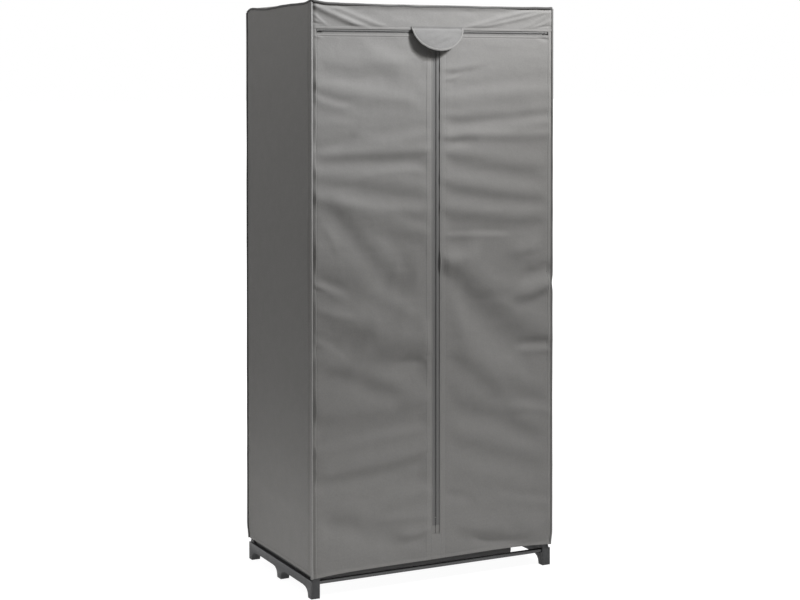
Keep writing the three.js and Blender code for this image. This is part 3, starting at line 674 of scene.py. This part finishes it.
def welt(name, path, upright, radius, material, closed=False, flatten=1):
    """A round or flattened cord along a path"""
    path = np.array(path, float)
    count = len(path)
    if closed:
        heading = np.roll(path, -1, 0) - np.roll(path, 1, 0)
    else:
        heading = np.gradient(path, axis=0)
    heading /= np.linalg.norm(heading, axis=1)[:, None]
    outward = np.cross(heading, np.broadcast_to(upright, path.shape))
    outward /= np.linalg.norm(outward, axis=1)[:, None]
    other = np.cross(outward, heading)
    turn = np.linspace(0, 2 * math.pi, cord_sides, endpoint=False)
    rings = path[:, None] + radius * (
        np.cos(turn)[None, :, None] * outward[:, None]
        + flatten * np.sin(turn)[None, :, None] * other[:, None]
    )
    at = np.arange(count * cord_sides).reshape(count, cord_sides)
    ahead = np.roll(at, -1, 0) if closed else at[1:]
    here = at if closed else at[:-1]
    squares = np.stack([here, np.roll(here, -1, 1), np.roll(ahead, -1, 1), ahead], -1)
    walked = np.append(0, np.cumsum(np.linalg.norm(np.diff(path, axis=0), axis=1)))
    flat = placed(turn[None] * radius, walked[:, None])
    piece = new_piece(name, rings.reshape(-1, 3), squares.reshape(-1, 4), flat.reshape(-1, 2), material)
    return faced_outwards(piece, 60, not closed)


ring = []
for start_x, start_y, end_x, end_y in (
    (-1, -1, 1, -1), (1, -1, 1, 1), (1, 1, -1, 1), (-1, 1, -1, -1),
):
    steps = 180 if start_y == end_y else 110
    for share in np.linspace(0, 1, steps, endpoint=False)[1:]:
        x = corner_x * (start_x + (end_x - start_x) * share)
        y = corner_y * (start_y + (end_y - start_y) * share)
        y -= ring_forward * (start_y == end_y == -1)
        droop = corner_droop(x, y) + (side_droop(y) if start_x == end_x else 0)
        droop += front_droop(x) if start_y == end_y == -1 else 0
        ring.append((x, y, ring_height - float(droop) + 0.0002 * math.sin(90 * (x + y))))
top_ring = welt("piping_ring", ring, (0, 0, 1), piping_radius, shaded_welt_cloth, closed=True)
fitted(top_ring, "welt", "piping_top")

for corner, side, end in (
    ("front_left", -1, -1), ("front_right", 1, -1), ("back_left", -1, 1), ("back_right", 1, 1),
):
    hem = float(front_hem(side * seam_edge)) if end < 0 else side_hem
    raised = float(corner_droop(side * box_half_width, end * back_edge))
    heights = np.linspace(hem, piping_top - raised, 320)
    pull = drawn_in(heights, hem_bottom if end < 0 else side_hem)
    dent = dent_depth * np.exp(-(((heights - dent_height) / 0.016) ** 2))
    dent *= corner == "front_right"
    wave = 0.0005 * ripple(heights, 0 * heights, (0.12, 1), 41 + side + 2 * end)
    wave *= soft((heights - hem) / 0.1) * soft((piping_top - heights) / 0.1)
    path = placed(
        side * (corner_x - pull - dent - np.abs(wave)), end * (corner_y - pull - np.abs(wave)),
        heights,
    )
    cord = welt(
        f"piping_cord_{corner}", path, (0, 1, 0), piping_radius,
        {"front_left": lit_welt_cloth, "front_right": shaded_right_welt_cloth}.get(corner, shaded_welt_cloth),
    )
    fitted(cord, "welt", f"piping_{corner}")


# Zip tapes: woven polyester ribbons sewn behind the cloth's edges, two upright in the middle,
# two level on each side, and one that closes the skirt below the zip. A folded end of tape
# covers the outer end of each level zip.
tape_front = -0.2285
tape_thickness = 0.0006
tape_inner = 0.0007
tape_outer = 0.0220
zip_height = 1.5225
# Lit and shaded copies of one tape: the level tapes are lighter as painted light, and the upright tapes
# and the tape ends darker as painted shade of the groove between the doors
lit_level_tape = nonwoven("lit_level_tape", (0.185, 0.182, 0.176))
shaded_woven_tape, tree, skin = new_material("shaded_woven_tape", (0.132, 0.130, 0.127), 0.75)
flat = node(tree, "ShaderNodeUVMap", uv_map="flat_cloth").outputs[0]
ribs = node(tree, "ShaderNodeTexWave", {"Vector": flat, "Scale": 260, "Distortion": 0.4}).outputs[1]
varied(skin, (ribs, 0.96, 1.04), (noise(tree, flat, 380, 3), 0.92, 1.08))
tree.links.new(bumps(tree, ribs, 0.4, 0.0002), skin.inputs["Normal"])

# Each tape's body, cloth and ends, from the middle outwards and from the bottom up
tapes = [
    (f"{part}_{side_name}", body.format(side_name), cloth, side * inner, side * outer, low_z, high_z)
    for part, body, cloth, inner, outer, low_z, high_z in (
        ("upright", "door_{}", shaded_woven_tape, tape_inner, tape_outer, 0.1580, 1.5165),
        ("door", "door_{}", lit_level_tape, 0.0260, 0.3430, 1.5005, zip_height - tape_inner),
        ("header", "cover_and_frame", lit_level_tape, 0.0003, 0.3590, zip_height + tape_inner, 1.5445),
    )
    for side_name, side in both_sides
]
tapes.append(("skirt", "cover_and_frame", cover_cloth, -tape_outer, tape_outer, 0.0997, 0.1577))
slit = 0.0006
for part, body, cloth, inner, outer, low_z, high_z in tapes:
    low_x, high_x = sorted((inner, outer))
    across = np.linspace(low_x, high_x, max(7, round((high_x - low_x) / 0.012)))
    if part == "skirt":
        across = np.unique(np.append(across, [-slit, slit]))
    x, z = np.meshgrid(across, np.linspace(low_z, high_z, max(9, round((high_z - low_z) / 0.012))))
    cut = (np.abs(middles(x)) < slit) & (middles(z) > slot_bottom) & (part == "skirt")
    tape = cloth_sheet(
        f"zip_tape_{part}", placed(x, tape_front, z), placed(x, z), ~cut,
        thickness=tape_thickness, material=cloth,
    )
    fitted(tape, "zip", "zip_skirt_tape" if part == "skirt" else f"zip_{part}", body=body)

zip_end_face = -0.2254
zip_end_across = (0.3440, 0.3600)
zip_end_up = (1.5125, 1.5245)
for side_name, side in both_sides:
    x, z = np.meshgrid(side * np.linspace(*zip_end_across, 7), np.linspace(*zip_end_up, 7))
    zip_end = cloth_sheet(
        f"zip_end_{side_name}", placed(x, zip_end_face, z)[::, ::side],
        placed(x, z)[::, ::side], thickness=tape_thickness, material=shaded_woven_tape,
    )
    fitted(zip_end, "zip")


# Zip teeth: a nylon coil sewn along the edge of each tape. Its turns show as short bars across
# the zip, which lie between the other side's bars when the zip is closed.
tooth_pitch = 0.0016
tooth_radius = 0.00036
coil_nylon, tree, skin = new_material("coil_nylon", (0.036, 0.035, 0.035), 0.42)
place = node(tree, "ShaderNodeTexCoord").outputs["Object"]
scuffs = noise(tree, place, 240, 4)
varied(skin, (scuffs, 0.75, 1.3))
tree.links.new(
    node(tree, "ShaderNodeMapRange", {"Value": scuffs, "To Min": 0.34, "To Max": 0.52}).outputs[0],
    skin.inputs["Roughness"],
)


def new_tree(name, inputs):
    """A tree of geometry nodes with its named inputs, and the spots one pitch apart on its rows"""
    tree = bpy.data.node_groups.new(name, "GeometryNodeTree")
    tree.interface.new_socket("Geometry", in_out="INPUT", socket_type="NodeSocketGeometry")
    tree.interface.new_socket("Geometry", in_out="OUTPUT", socket_type="NodeSocketGeometry")
    for label, kind in inputs.items():
        tree.interface.new_socket(label, in_out="INPUT", socket_type=f"NodeSocket{kind}")
    given = node(tree, "NodeGroupInput").outputs
    row = node(tree, "GeometryNodeMeshToCurve", {"Mesh": given["Geometry"]}).outputs[0]
    spots = node(
        tree, "GeometryNodeResampleCurve", {"Curve": row, "Length": given["Pitch"]}, mode="LENGTH",
    ).outputs[0]
    return tree, given, spots


def end_tree(tree, spots, material, **copied):
    """Copies a shape to a tree's spots, and ends the tree in real mesh with a material"""
    copies = node(tree, "GeometryNodeInstanceOnPoints", {"Points": spots, **copied}).outputs[0]
    real = node(tree, "GeometryNodeRealizeInstances", {"Geometry": copies}).outputs[0]
    smooth = node(tree, "GeometryNodeSetShadeSmooth", {"Geometry": real}).outputs[0]
    done = node(tree, "GeometryNodeSetMaterial", {"Geometry": smooth, "Material": material})
    node(tree, "NodeGroupOutput", {"Geometry": done.outputs[0]})


def along_rows(name, rows, tree, values, material):
    """A piece that a tree makes along rows of points"""
    points = np.concatenate(rows)
    edges, first = [], 0
    for row in rows:
        edges += [(first + step, first + step + 1) for step in range(len(row) - 1)]
        first += len(row)
    mesh = bpy.data.meshes.new(name)
    mesh.from_pydata(points.tolist(), edges, [])
    mesh.materials.append(material)
    piece = bpy.data.objects.new(name, mesh)
    scene.collection.objects.link(piece)
    modifier = piece.modifiers.new("rows", "NODES")
    modifier.node_group = tree
    for item in tree.interface.items_tree:
        if item.in_out == "INPUT" and item.name in values:
            modifier[item.identifier] = values[item.name]
    return made_plain(piece)


tooth_tree, given, spots = new_tree("zip_teeth", {
    "Pitch": "Float", "Tooth Length": "Float", "Tooth Radius": "Float", "Across": "Vector",
    "Nylon": "Material",
})
bar = node(tooth_tree, "GeometryNodeMeshCylinder", {
    "Vertices": 6, "Radius": given["Tooth Radius"], "Depth": given["Tooth Length"],
}).outputs[0]
turn = node(
    tooth_tree, "FunctionNodeAlignRotationToVector", {"Vector": given["Across"]}, axis="Z",
).outputs[0]
end_tree(tooth_tree, spots, given["Nylon"], Instance=bar, Rotation=turn)

tooth_length = 0.0028
tooth_middle = 0.0011
chain_front = -0.2286
chain_foot = 0.1585
chain_head = 1.5100
door_row, header_row = zip_height - tooth_middle, zip_height + tooth_middle

# Each row's body, the way its bars lie and its two ends, across and up
chains = [
    (f"upright_{side_name}", f"door_{side_name}", (1, 0, 0),
     (side * tooth_middle, chain_foot + (side > 0) * tooth_pitch / 2),
     (side * tooth_middle, chain_head))
    for side_name, side in both_sides
] + [
    (f"door_{side_name}", f"door_{side_name}", (0, 0, 1),
     (side * 0.3440, door_row), (side * 0.0260, door_row))
    for side_name, side in both_sides
] + [
    (f"header_{side_name}", "cover_and_frame", (0, 0, 1),
     (side * (0.3523 - tooth_pitch / 2), header_row), (side * 0.0008, header_row))
    for side_name, side in both_sides
]
for part, body, across, start, end in chains:
    row = np.array([(x, chain_front, z) for x, z in (start, end)])
    coil = along_rows(f"zip_teeth_{part}", [row], tooth_tree, {
        "Pitch": tooth_pitch, "Tooth Length": tooth_length, "Tooth Radius": tooth_radius,
        "Across": across, "Nylon": coil_nylon,
    }, coil_nylon)
    fitted(coil, "zip", body=body)


# Stitches: rows of grey thread along the hems, the zips and beside the pipings. Each stitch is
# a short bead of thread that sinks into the cloth at its ends.
thread, tree, skin = new_material("sewing_thread", (0.150, 0.150, 0.150), 0.6)
place = node(tree, "ShaderNodeTexCoord").outputs["Object"]
varied(skin, (noise(tree, place, 1500, 2), 0.8, 1.2))

stitch_tree, given, spots = new_tree("stitches", {
    "Pitch": "Float", "Stitch Size": "Vector", "Thread": "Material",
})
tangent = node(stitch_tree, "GeometryNodeInputTangent").outputs[0]
turn = node(
    stitch_tree, "FunctionNodeAlignRotationToVector", {"Vector": tangent}, axis="Z",
).outputs[0]
bead = node(stitch_tree, "GeometryNodeMeshIcoSphere", {"Radius": 1.0, "Subdivisions": 1}).outputs[0]
end_tree(
    stitch_tree, spots, given["Thread"], Instance=bead, Rotation=turn, Scale=given["Stitch Size"],
)
stitch_pitch = 0.0040
stitch_rise = 0.0001
stitch_values = {
    "Pitch": stitch_pitch, "Stitch Size": (0.00030, 0.00030, 0.0016), "Thread": thread,
}


def front_row(start, end):
    """A row of stitches on the front, from one place across and up to another"""
    count = max(3, round(math.dist(start, end) / stitch_pitch))
    x, z = np.linspace(start[0], end[0], count), np.linspace(start[1], end[1], count)
    return front_point(x, z) - [0, stitch_rise, 0]


for side_name, side in both_sides:
    rows = [front_row((side * line, door_bottom + 0.003), (side * line, 1.509)) for line in zip_stitches]
    rows.append(front_row((side * topstitch, door_bottom + 0.003), (side * topstitch, strip_top)))
    rows += [
        front_row((side * 0.014, door_top - line), (side * 0.357, door_top - line))
        for line in top_stitches
    ]
    seams = along_rows(f"stitches_front_{side_name}", rows, stitch_tree, stitch_values, thread)
    swings(seams)

rows = [
    front_row((side * line, 0.075), (side * line, skirt_top - 0.002))
    for side in (-1, 1) for line in (*zip_stitches, topstitch)
]
x = np.linspace(-0.360, 0.360, 180)
rows.append(front_point(x, front_hem(x) + hem_depth) - [0, stitch_rise, 0])
x = np.linspace(-0.366, 0.366, 180)
hung = header_bottom + header_hem - front_droop(x) * (header_hem / (header_top - header_bottom))
rows.append(placed(x, front_face - stitch_rise, hung))
for side in (-1, 1):
    y = np.linspace(-0.221, 0.221, 110)
    height = side_hem + hem_depth + side_rise * (1 - (y / side_edge) ** 2)
    rows.append(placed(side * (side_face - drawn_in(height, side_hem) + stitch_rise), y, height))
height = side_hem + hem_depth
rows.append(placed(x, back_face - drawn_in(height, side_hem) + stitch_rise, height))
seams = along_rows("stitches_cover", rows, stitch_tree, stitch_values, thread)
fitted(seams, "cover_cloth")


# Zip sliders and pulls: small die-cast pieces in dark enamel, one set on each zip, parked
# together under the half-moon flap.
def worn_paint(name, colour, roughness, grain, depth, shine=0.5):
    """Enamel or moulded plastic with a fine grain and a few rubbed places"""
    material, tree, skin = new_material(name, colour, roughness)
    place = node(tree, "ShaderNodeTexCoord").outputs["Object"]
    fine, rubbed = noise(tree, place, grain, 4), noise(tree, place, 22, 5)
    varied(skin, (fine, 0.94, 1.06), (rubbed, 0.88, 1.14))
    tree.links.new(node(tree, "ShaderNodeMapRange", {
        "Value": rubbed, "From Min": 0.3, "From Max": 0.7,
        "To Min": roughness - 0.06, "To Max": roughness + 0.08,
    }).outputs[0], skin.inputs["Roughness"])
    tree.links.new(bumps(tree, fine, 0.35, depth), skin.inputs["Normal"])
    skin.inputs["Specular IOR Level"].default_value = shine
    return material


def softened(name, node_name, width, material, corner=None):
    """A copy of a solid with its edges rounded. A corner is a test that picks upright edges by
    their ends, and the larger radius that they get."""
    piece = bpy.data.objects.new(name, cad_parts[node_name].data.copy())
    scene.collection.objects.link(piece)
    shape = bmesh.new()
    shape.from_mesh(piece.data)
    bmesh.ops.remove_doubles(shape, verts=shape.verts, dist=1e-5)
    bmesh.ops.dissolve_limit(
        shape, angle_limit=math.radians(1), verts=shape.verts, edges=shape.edges,
    )
    if corner:
        picked = [edge for edge in shape.edges if all(corner[0](end.co) for end in edge.verts)]
        bmesh.ops.bevel(
            shape, geom=picked, offset=corner[1], segments=5, profile=0.5, affect="EDGES",
        )
    shape.to_mesh(piece.data)
    shape.free()
    piece.data.materials.clear()
    piece.data.materials.append(material)
    piece.data.polygons.foreach_set("use_smooth", [True] * len(piece.data.polygons))
    edge = piece.modifiers.new("rounding", "BEVEL")
    edge.width = width
    edge.segments = 2
    edge.limit_method = "ANGLE"
    edge.angle_limit = math.radians(40)
    edge.harden_normals = True
    made_plain(piece)
    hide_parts(node_name)
    return piece


enamel = worn_paint("dark_enamel", (0.040, 0.040, 0.043), 0.34, 900, 0.00005)
for place_name in ("upright", "left", "right"):
    for part, rounding in (("slider", 0.00025), ("pull", 0.00030)):
        body = f"{part}_{place_name}"
        fitted(softened(f"zip_{body}", body, rounding, enamel), "zip_slider", body=body)


# Half-moon flap: a stiffened half disc of the cover cloth that hides the parked sliders. It is
# sewn to the header's lower edge and stands out over them, and a folded binding covers its rim.
flap_half_width = 0.0805
flap_drop = 0.0665
flap_root = 1.5387
flap_middle = 0.0030
flap_back = 0.2319
flap_thickness = 0.0009
flap_seam = 0.0062
flap_flare = 0.31
flap_step = 0.0042
flap_curl = 0.0040
binding_radius = 0.0028
binding_inset = 0.0026
flap_stitches = 0.0068
flap_creases = [
    (1.9, 7, "fold", [(-70, -52), (-20, -28), (30, -14)]),
    (1.5, 6, "step", [(-40, -60), (10, -40), (60, -24)]),
    (1.4, 8, "fold", [(-10, -62), (30, -44), (70, -34)]),
]


def flap_point(x, drop, lift=0.0):
    """A point on the flap's outer face, from its middle line and how far it hangs. It lies
    flat along its seam, and stands out over the sliders below."""
    free = np.maximum(drop - flap_seam, 0)
    bulge = flap_flare * free + flap_step * (1 - np.exp(-free / 0.0020))
    bulge = bulge - flap_curl * soft(drop / flap_drop) * (x / flap_half_width) ** 2
    return placed(x + flap_middle, -(flap_back + bulge) - lift, flap_root - drop)


u, v = np.meshgrid(np.linspace(-1, 1, 61), np.linspace(1, 0, 61))
angle = math.pi / 2 * 0.985 * v
drop = flap_drop * np.sin(angle)
x = flap_half_width * np.cos(angle) * u
lift = creased(x, -drop, flap_creases) * soft((drop - 0.006) / 0.02)
lift += 0.0003 * ripple(x, drop, (0.02, 0.01), 51) + 2 * sewn(drop - 0.0066)
# The cover's cloth painted darker, as painted shade that offsets the extra light on the flap's tilted
# face
shaded_flap_cloth = nonwoven("shaded_flap_cloth", (0.176, 0.173, 0.168))
flap = cloth_sheet(
    "flap_half_moon", flap_point(x, drop, lift), placed(x, flap_root - drop),
    thickness=flap_thickness, material=shaded_flap_cloth,
)
fitted(flap, "cover_cloth", "half_moon_flap", body="half_moon_flap")

angle = np.linspace(0.02, math.pi - 0.02, 90)
rim = flap_point(
    (flap_half_width - binding_inset) * np.cos(angle),
    (flap_drop - binding_inset) * np.sin(angle) + 0.0002,
)
rim[:, 1] += 0.0008
binding = welt("flap_binding", rim, (0, 1, 0), binding_radius, cover_cloth, flatten=0.5)
fitted(binding, "welt", body="half_moon_flap")
angle = np.linspace(0.06, math.pi - 0.06, 80)
row = flap_point(
    (flap_half_width - flap_stitches) * np.cos(angle), (flap_drop - flap_stitches) * np.sin(angle),
)
row[:, 1] -= 0.0002
seam = along_rows("stitches_flap", [row], stitch_tree, stitch_values, thread)
fitted(seam, "cover_cloth", body="half_moon_flap")


# Base: two moulded plastic sides, each a beam on three hollow feet with a socket for every tube.
# The plastic is dark grey with a fine spark-eroded grain.
moulded_plastic = worn_paint("moulded_plastic", (0.042, 0.042, 0.043), 0.50, 700, 0.00010, 0.32)


def boss_corner(point):
    """Whether a point is on the outer upright edge of the boss at a front or back corner"""
    return 0.3687 < abs(point.x) < 0.3700 and abs(point.y) > 0.2237 and point.z > 0.0485


for side_name in ("left", "right"):
    fitted(softened(
        f"base_moulding_{side_name}", f"base_side_{side_name}", 0.0009, moulded_plastic,
        (boss_corner, 0.008),
    ), "moulded_plastic")


# Frame fittings: moulded joiners halfway up the posts, corner blocks under the cover's top, and
# the two brackets that carry the hanging rail. The highest end just under the top's cloth.
corners = ("front_left", "front_right", "back_left", "back_right")
under_cloth = 0.0017
for kind, node_kind, places in (
    ("joiner", "post_joiner", corners), ("corner_block", "top_corner", corners),
    ("rail_bracket", "hanging_rail_bracket", ("left", "right")),
):
    for place_name in places:
        fitting = softened(
            f"{kind}_{place_name}", f"{node_kind}_{place_name}", 0.0008, moulded_plastic,
        )
        points = np.array([point.co for point in fitting.data.vertices], float)
        ceiling = top_height(points[:, 0], points[:, 1]) - under_cloth
        points[:, 2] = np.minimum(points[:, 2], ceiling)
        fitting.data.vertices.foreach_set("co", points.ravel())
        fitted(fitting, "moulded_plastic")


# Frame tubes: thin steel tube in black paint, cut to length and pushed into the fittings.
tube_paint = worn_paint("black_tube_paint", (0.012, 0.012, 0.013), 0.20, 1200, 0.00003, 0.80)
tube_wall = 0.0008
tube_sides = 32


def steel_tube(name, node_name):
    """A hollow tube where the frame has one"""
    low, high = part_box(node_name)
    size = high - low
    axis = max(range(3), key=lambda i: size[i])
    radius = min(size) / 2
    centre = (low + high) / 2
    first, second = [i for i in range(3) if i != axis]
    turn = np.linspace(0, 2 * math.pi, tube_sides, endpoint=False)
    rings = []
    for along, reach in (
        (-1, radius - tube_wall), (-1, radius), (1, radius), (1, radius - tube_wall),
    ):
        ring = np.empty((tube_sides, 3))
        ring[:, axis] = centre[axis] + along * size[axis] / 2
        ring[:, first] = centre[first] + reach * np.cos(turn)
        ring[:, second] = centre[second] + reach * np.sin(turn)
        rings.append(ring)
    at = np.arange(4 * tube_sides).reshape(4, tube_sides)
    ahead = np.roll(at, -1, 0)
    squares = np.stack([at, np.roll(at, -1, 1), np.roll(ahead, -1, 1), ahead], -1).reshape(-1, 4)
    piece = new_piece(
        name, np.concatenate(rings), squares, np.zeros((4 * tube_sides, 2)), tube_paint,
    )
    fitted(faced_outwards(piece, 50), "painted_tube", node_name)


for node_name in sorted(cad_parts):
    if node_name.startswith(("base_rail_", "post_lower_", "post_upper_", "top_rail_")):
        steel_tube(f"tube_{node_name}", node_name)
steel_tube("tube_hanging_rail", "hanging_rail")


# Floor cloth: a loose sheet of the same cloth laid over the three base rails, with thick rolled
# hems along its front and back that stand up behind the skirt. It is narrower than the base and
# lies against the left side.
floor_thickness = 0.0015
floor_hem_up = 0.0590
floor_low, floor_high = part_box("bottom_shelf")
# Painted shade: the same cloth as the cover, painted far darker for the shade under the skirt
shaded_floor_weave = nonwoven("shaded_floor_cloth_weave", (0.050, 0.049, 0.048))
x, y = np.meshgrid(
    spread(floor_low.x, floor_high.x, 0.009), spread(floor_low.y + 0.004, floor_high.y - 0.004, 0.007),
)
between = np.sin(math.pi * np.clip(np.abs(y) / 0.214, 0, 1)) ** 2
sag = -0.004 * between * soft((x - floor_low.x) / 0.03 + 0.3)
sag += 0.0012 * ripple(x, y, (0.09, 0.05), 61) * between
floor_cloth = cloth_sheet(
    "floor_cloth", placed(x, y, floor_low.z + floor_thickness + sag), placed(x, y),
    thickness=floor_thickness, material=shaded_floor_weave,
)
fitted(floor_cloth, "cover_cloth", "bottom_shelf")
for end_name, end in (("front", -1), ("back", 1)):
    xs = np.linspace(floor_low.x + 0.001, floor_high.x - 0.001, 90)
    path = [(x, end * 0.2195, floor_hem_up + 0.0004 * math.sin(35 * x)) for x in xs]
    hem = welt(f"floor_cloth_hem_{end_name}", path, (0, 1, 0), 0.0080, shaded_floor_weave, flatten=0.25)
    fitted(hem, "cover_cloth")


# Studio: a pale floor that runs out to white, and lamps from high on the right, as the flap's
# shadow shows. Low soft lamps fill the hems and the base, and one behind lights the back.
floor_mesh = bpy.data.meshes.new("studio_floor")
floor_mesh.from_pydata([(-90, -90, 0), (90, -90, 0), (90, 90, 0), (-90, 90, 0)], [], [(0, 1, 2, 3)])
studio_floor = bpy.data.objects.new("studio_floor", floor_mesh)
scene.collection.objects.link(studio_floor)


def seen_rays(tree):
    """Whether a ray comes from the camera, straight or by a mirror or glass"""
    rays = node(tree, "ShaderNodeLightPath").outputs
    seen = rays["Is Camera Ray"]
    for kind in ("Is Glossy Ray", "Is Transmission Ray"):
        seen = node(tree, "ShaderNodeMath", {0: seen, 1: rays[kind]}, operation="MAXIMUM").outputs[0]
    return seen


floor_paint = bpy.data.materials.new("floor_paint")
floor_paint.use_nodes = True
tree = floor_paint.node_tree
tree.nodes.clear()
matte = node(tree, "ShaderNodeBsdfDiffuse", {"Color": (0.80, 0.80, 0.80, 1)}).outputs[0]
white = node(tree, "ShaderNodeEmission", {"Color": (1, 1, 1, 1), "Strength": 1.26}).outputs[0]
place = node(tree, "ShaderNodeTexCoord").outputs["Object"]
distance = node(tree, "ShaderNodeVectorMath", {0: place}, operation="LENGTH").outputs["Value"]
fade = node(tree, "ShaderNodeMapRange", {
    "Value": distance, "From Min": 0.8, "From Max": 2.5, "To Min": 0.76, "To Max": 1.0,
}).outputs[0]
share = node(tree, "ShaderNodeMath", {0: seen_rays(tree), 1: fade}, operation="MULTIPLY").outputs[0]
mixed = node(tree, "ShaderNodeMixShader", {0: share, 1: matte, 2: white}).outputs[0]
node(tree, "ShaderNodeOutputMaterial", {"Surface": mixed})
floor_mesh.materials.append(floor_paint)

world = bpy.data.worlds.new("studio")
scene.world = world
world.use_nodes = True
tree = world.node_tree
tree.nodes.clear()
dim = node(tree, "ShaderNodeBackground", {"Color": (1, 1, 1, 1), "Strength": 0.10}).outputs[0]
bright = node(tree, "ShaderNodeBackground", {"Color": (1, 1, 1, 1), "Strength": 1.0}).outputs[0]
mixed = node(tree, "ShaderNodeMixShader", {0: seen_rays(tree), 1: dim, 2: bright}).outputs[0]
node(tree, "ShaderNodeOutputWorld", {"Surface": mixed})


def add_lamp(name, kind, place, target, power, colour):
    """Adds a lamp at a place, turned towards a target and hidden from the camera"""
    lamp = bpy.data.lights.new(name, kind)
    lamp.energy = power
    lamp.color = colour
    lamp_object = bpy.data.objects.new(name, lamp)
    lamp_object.location = place
    lamp_object.rotation_euler = (Vector(target) - Vector(place)).to_track_quat("-Z", "Y").to_euler()
    lamp_object.visible_camera = False
    scene.collection.objects.link(lamp_object)
    return lamp


plain_light = (1.0, 1.0, 1.0)
cool_light = (0.975, 1.0, 1.04)
for name, place, target, width, height, power in (
    ("key_lamp", (0.95, -1.15, 2.35), (0.0, -0.23, 1.45), 0.35, 0.35, 32.5),
    ("side_lamp", (-1.5, 0.2, 2.7), (-0.375, 0.0, 1.4), 0.8, 0.8, 10.0),
    ("low_front_lamp", (0.0, -0.8, 0.04), (0.0, -0.23, 0.10), 1.0, 0.2, 1.0),
    ("low_left_lamp", (-0.42, -0.8, 0.04), (-0.30, -0.23, 0.10), 0.6, 0.2, 0.75),
    ("low_side_lamp", (-0.8, 0.0, 0.03), (-0.375, 0.0, 0.06), 0.6, 0.15, 1.1),
    ("back_lamp", (1.6, 3.0, 2.1), (0.1, 0.2, 0.9), 1.6, 1.6, 60),
):
    lamp = add_lamp(name, "AREA", place, target, power, plain_light)
    lamp.shape = "RECTANGLE"
    lamp.size = width
    lamp.size_y = height
for name, place, target, cone, radius, power in (
    ("high_lamp", (1.62, -1.58, 3.2), (-0.2, -0.23, 2.4), 62, 0.16, 560),
    ("left_lamp", (-0.9, -1.6, 3.0), (0.1, -0.23, 2.0), 50, 0.30, 18),
    ("low_spot", (0.80, -1.60, 2.9), (0.0, -0.23, -0.30), 34, 0.16, 68),
):
    lamp = add_lamp(name, "SPOT", place, target, power, cool_light)
    lamp.spot_size = math.radians(cone)
    lamp.spot_blend = 1
    lamp.shadow_soft_size = radius
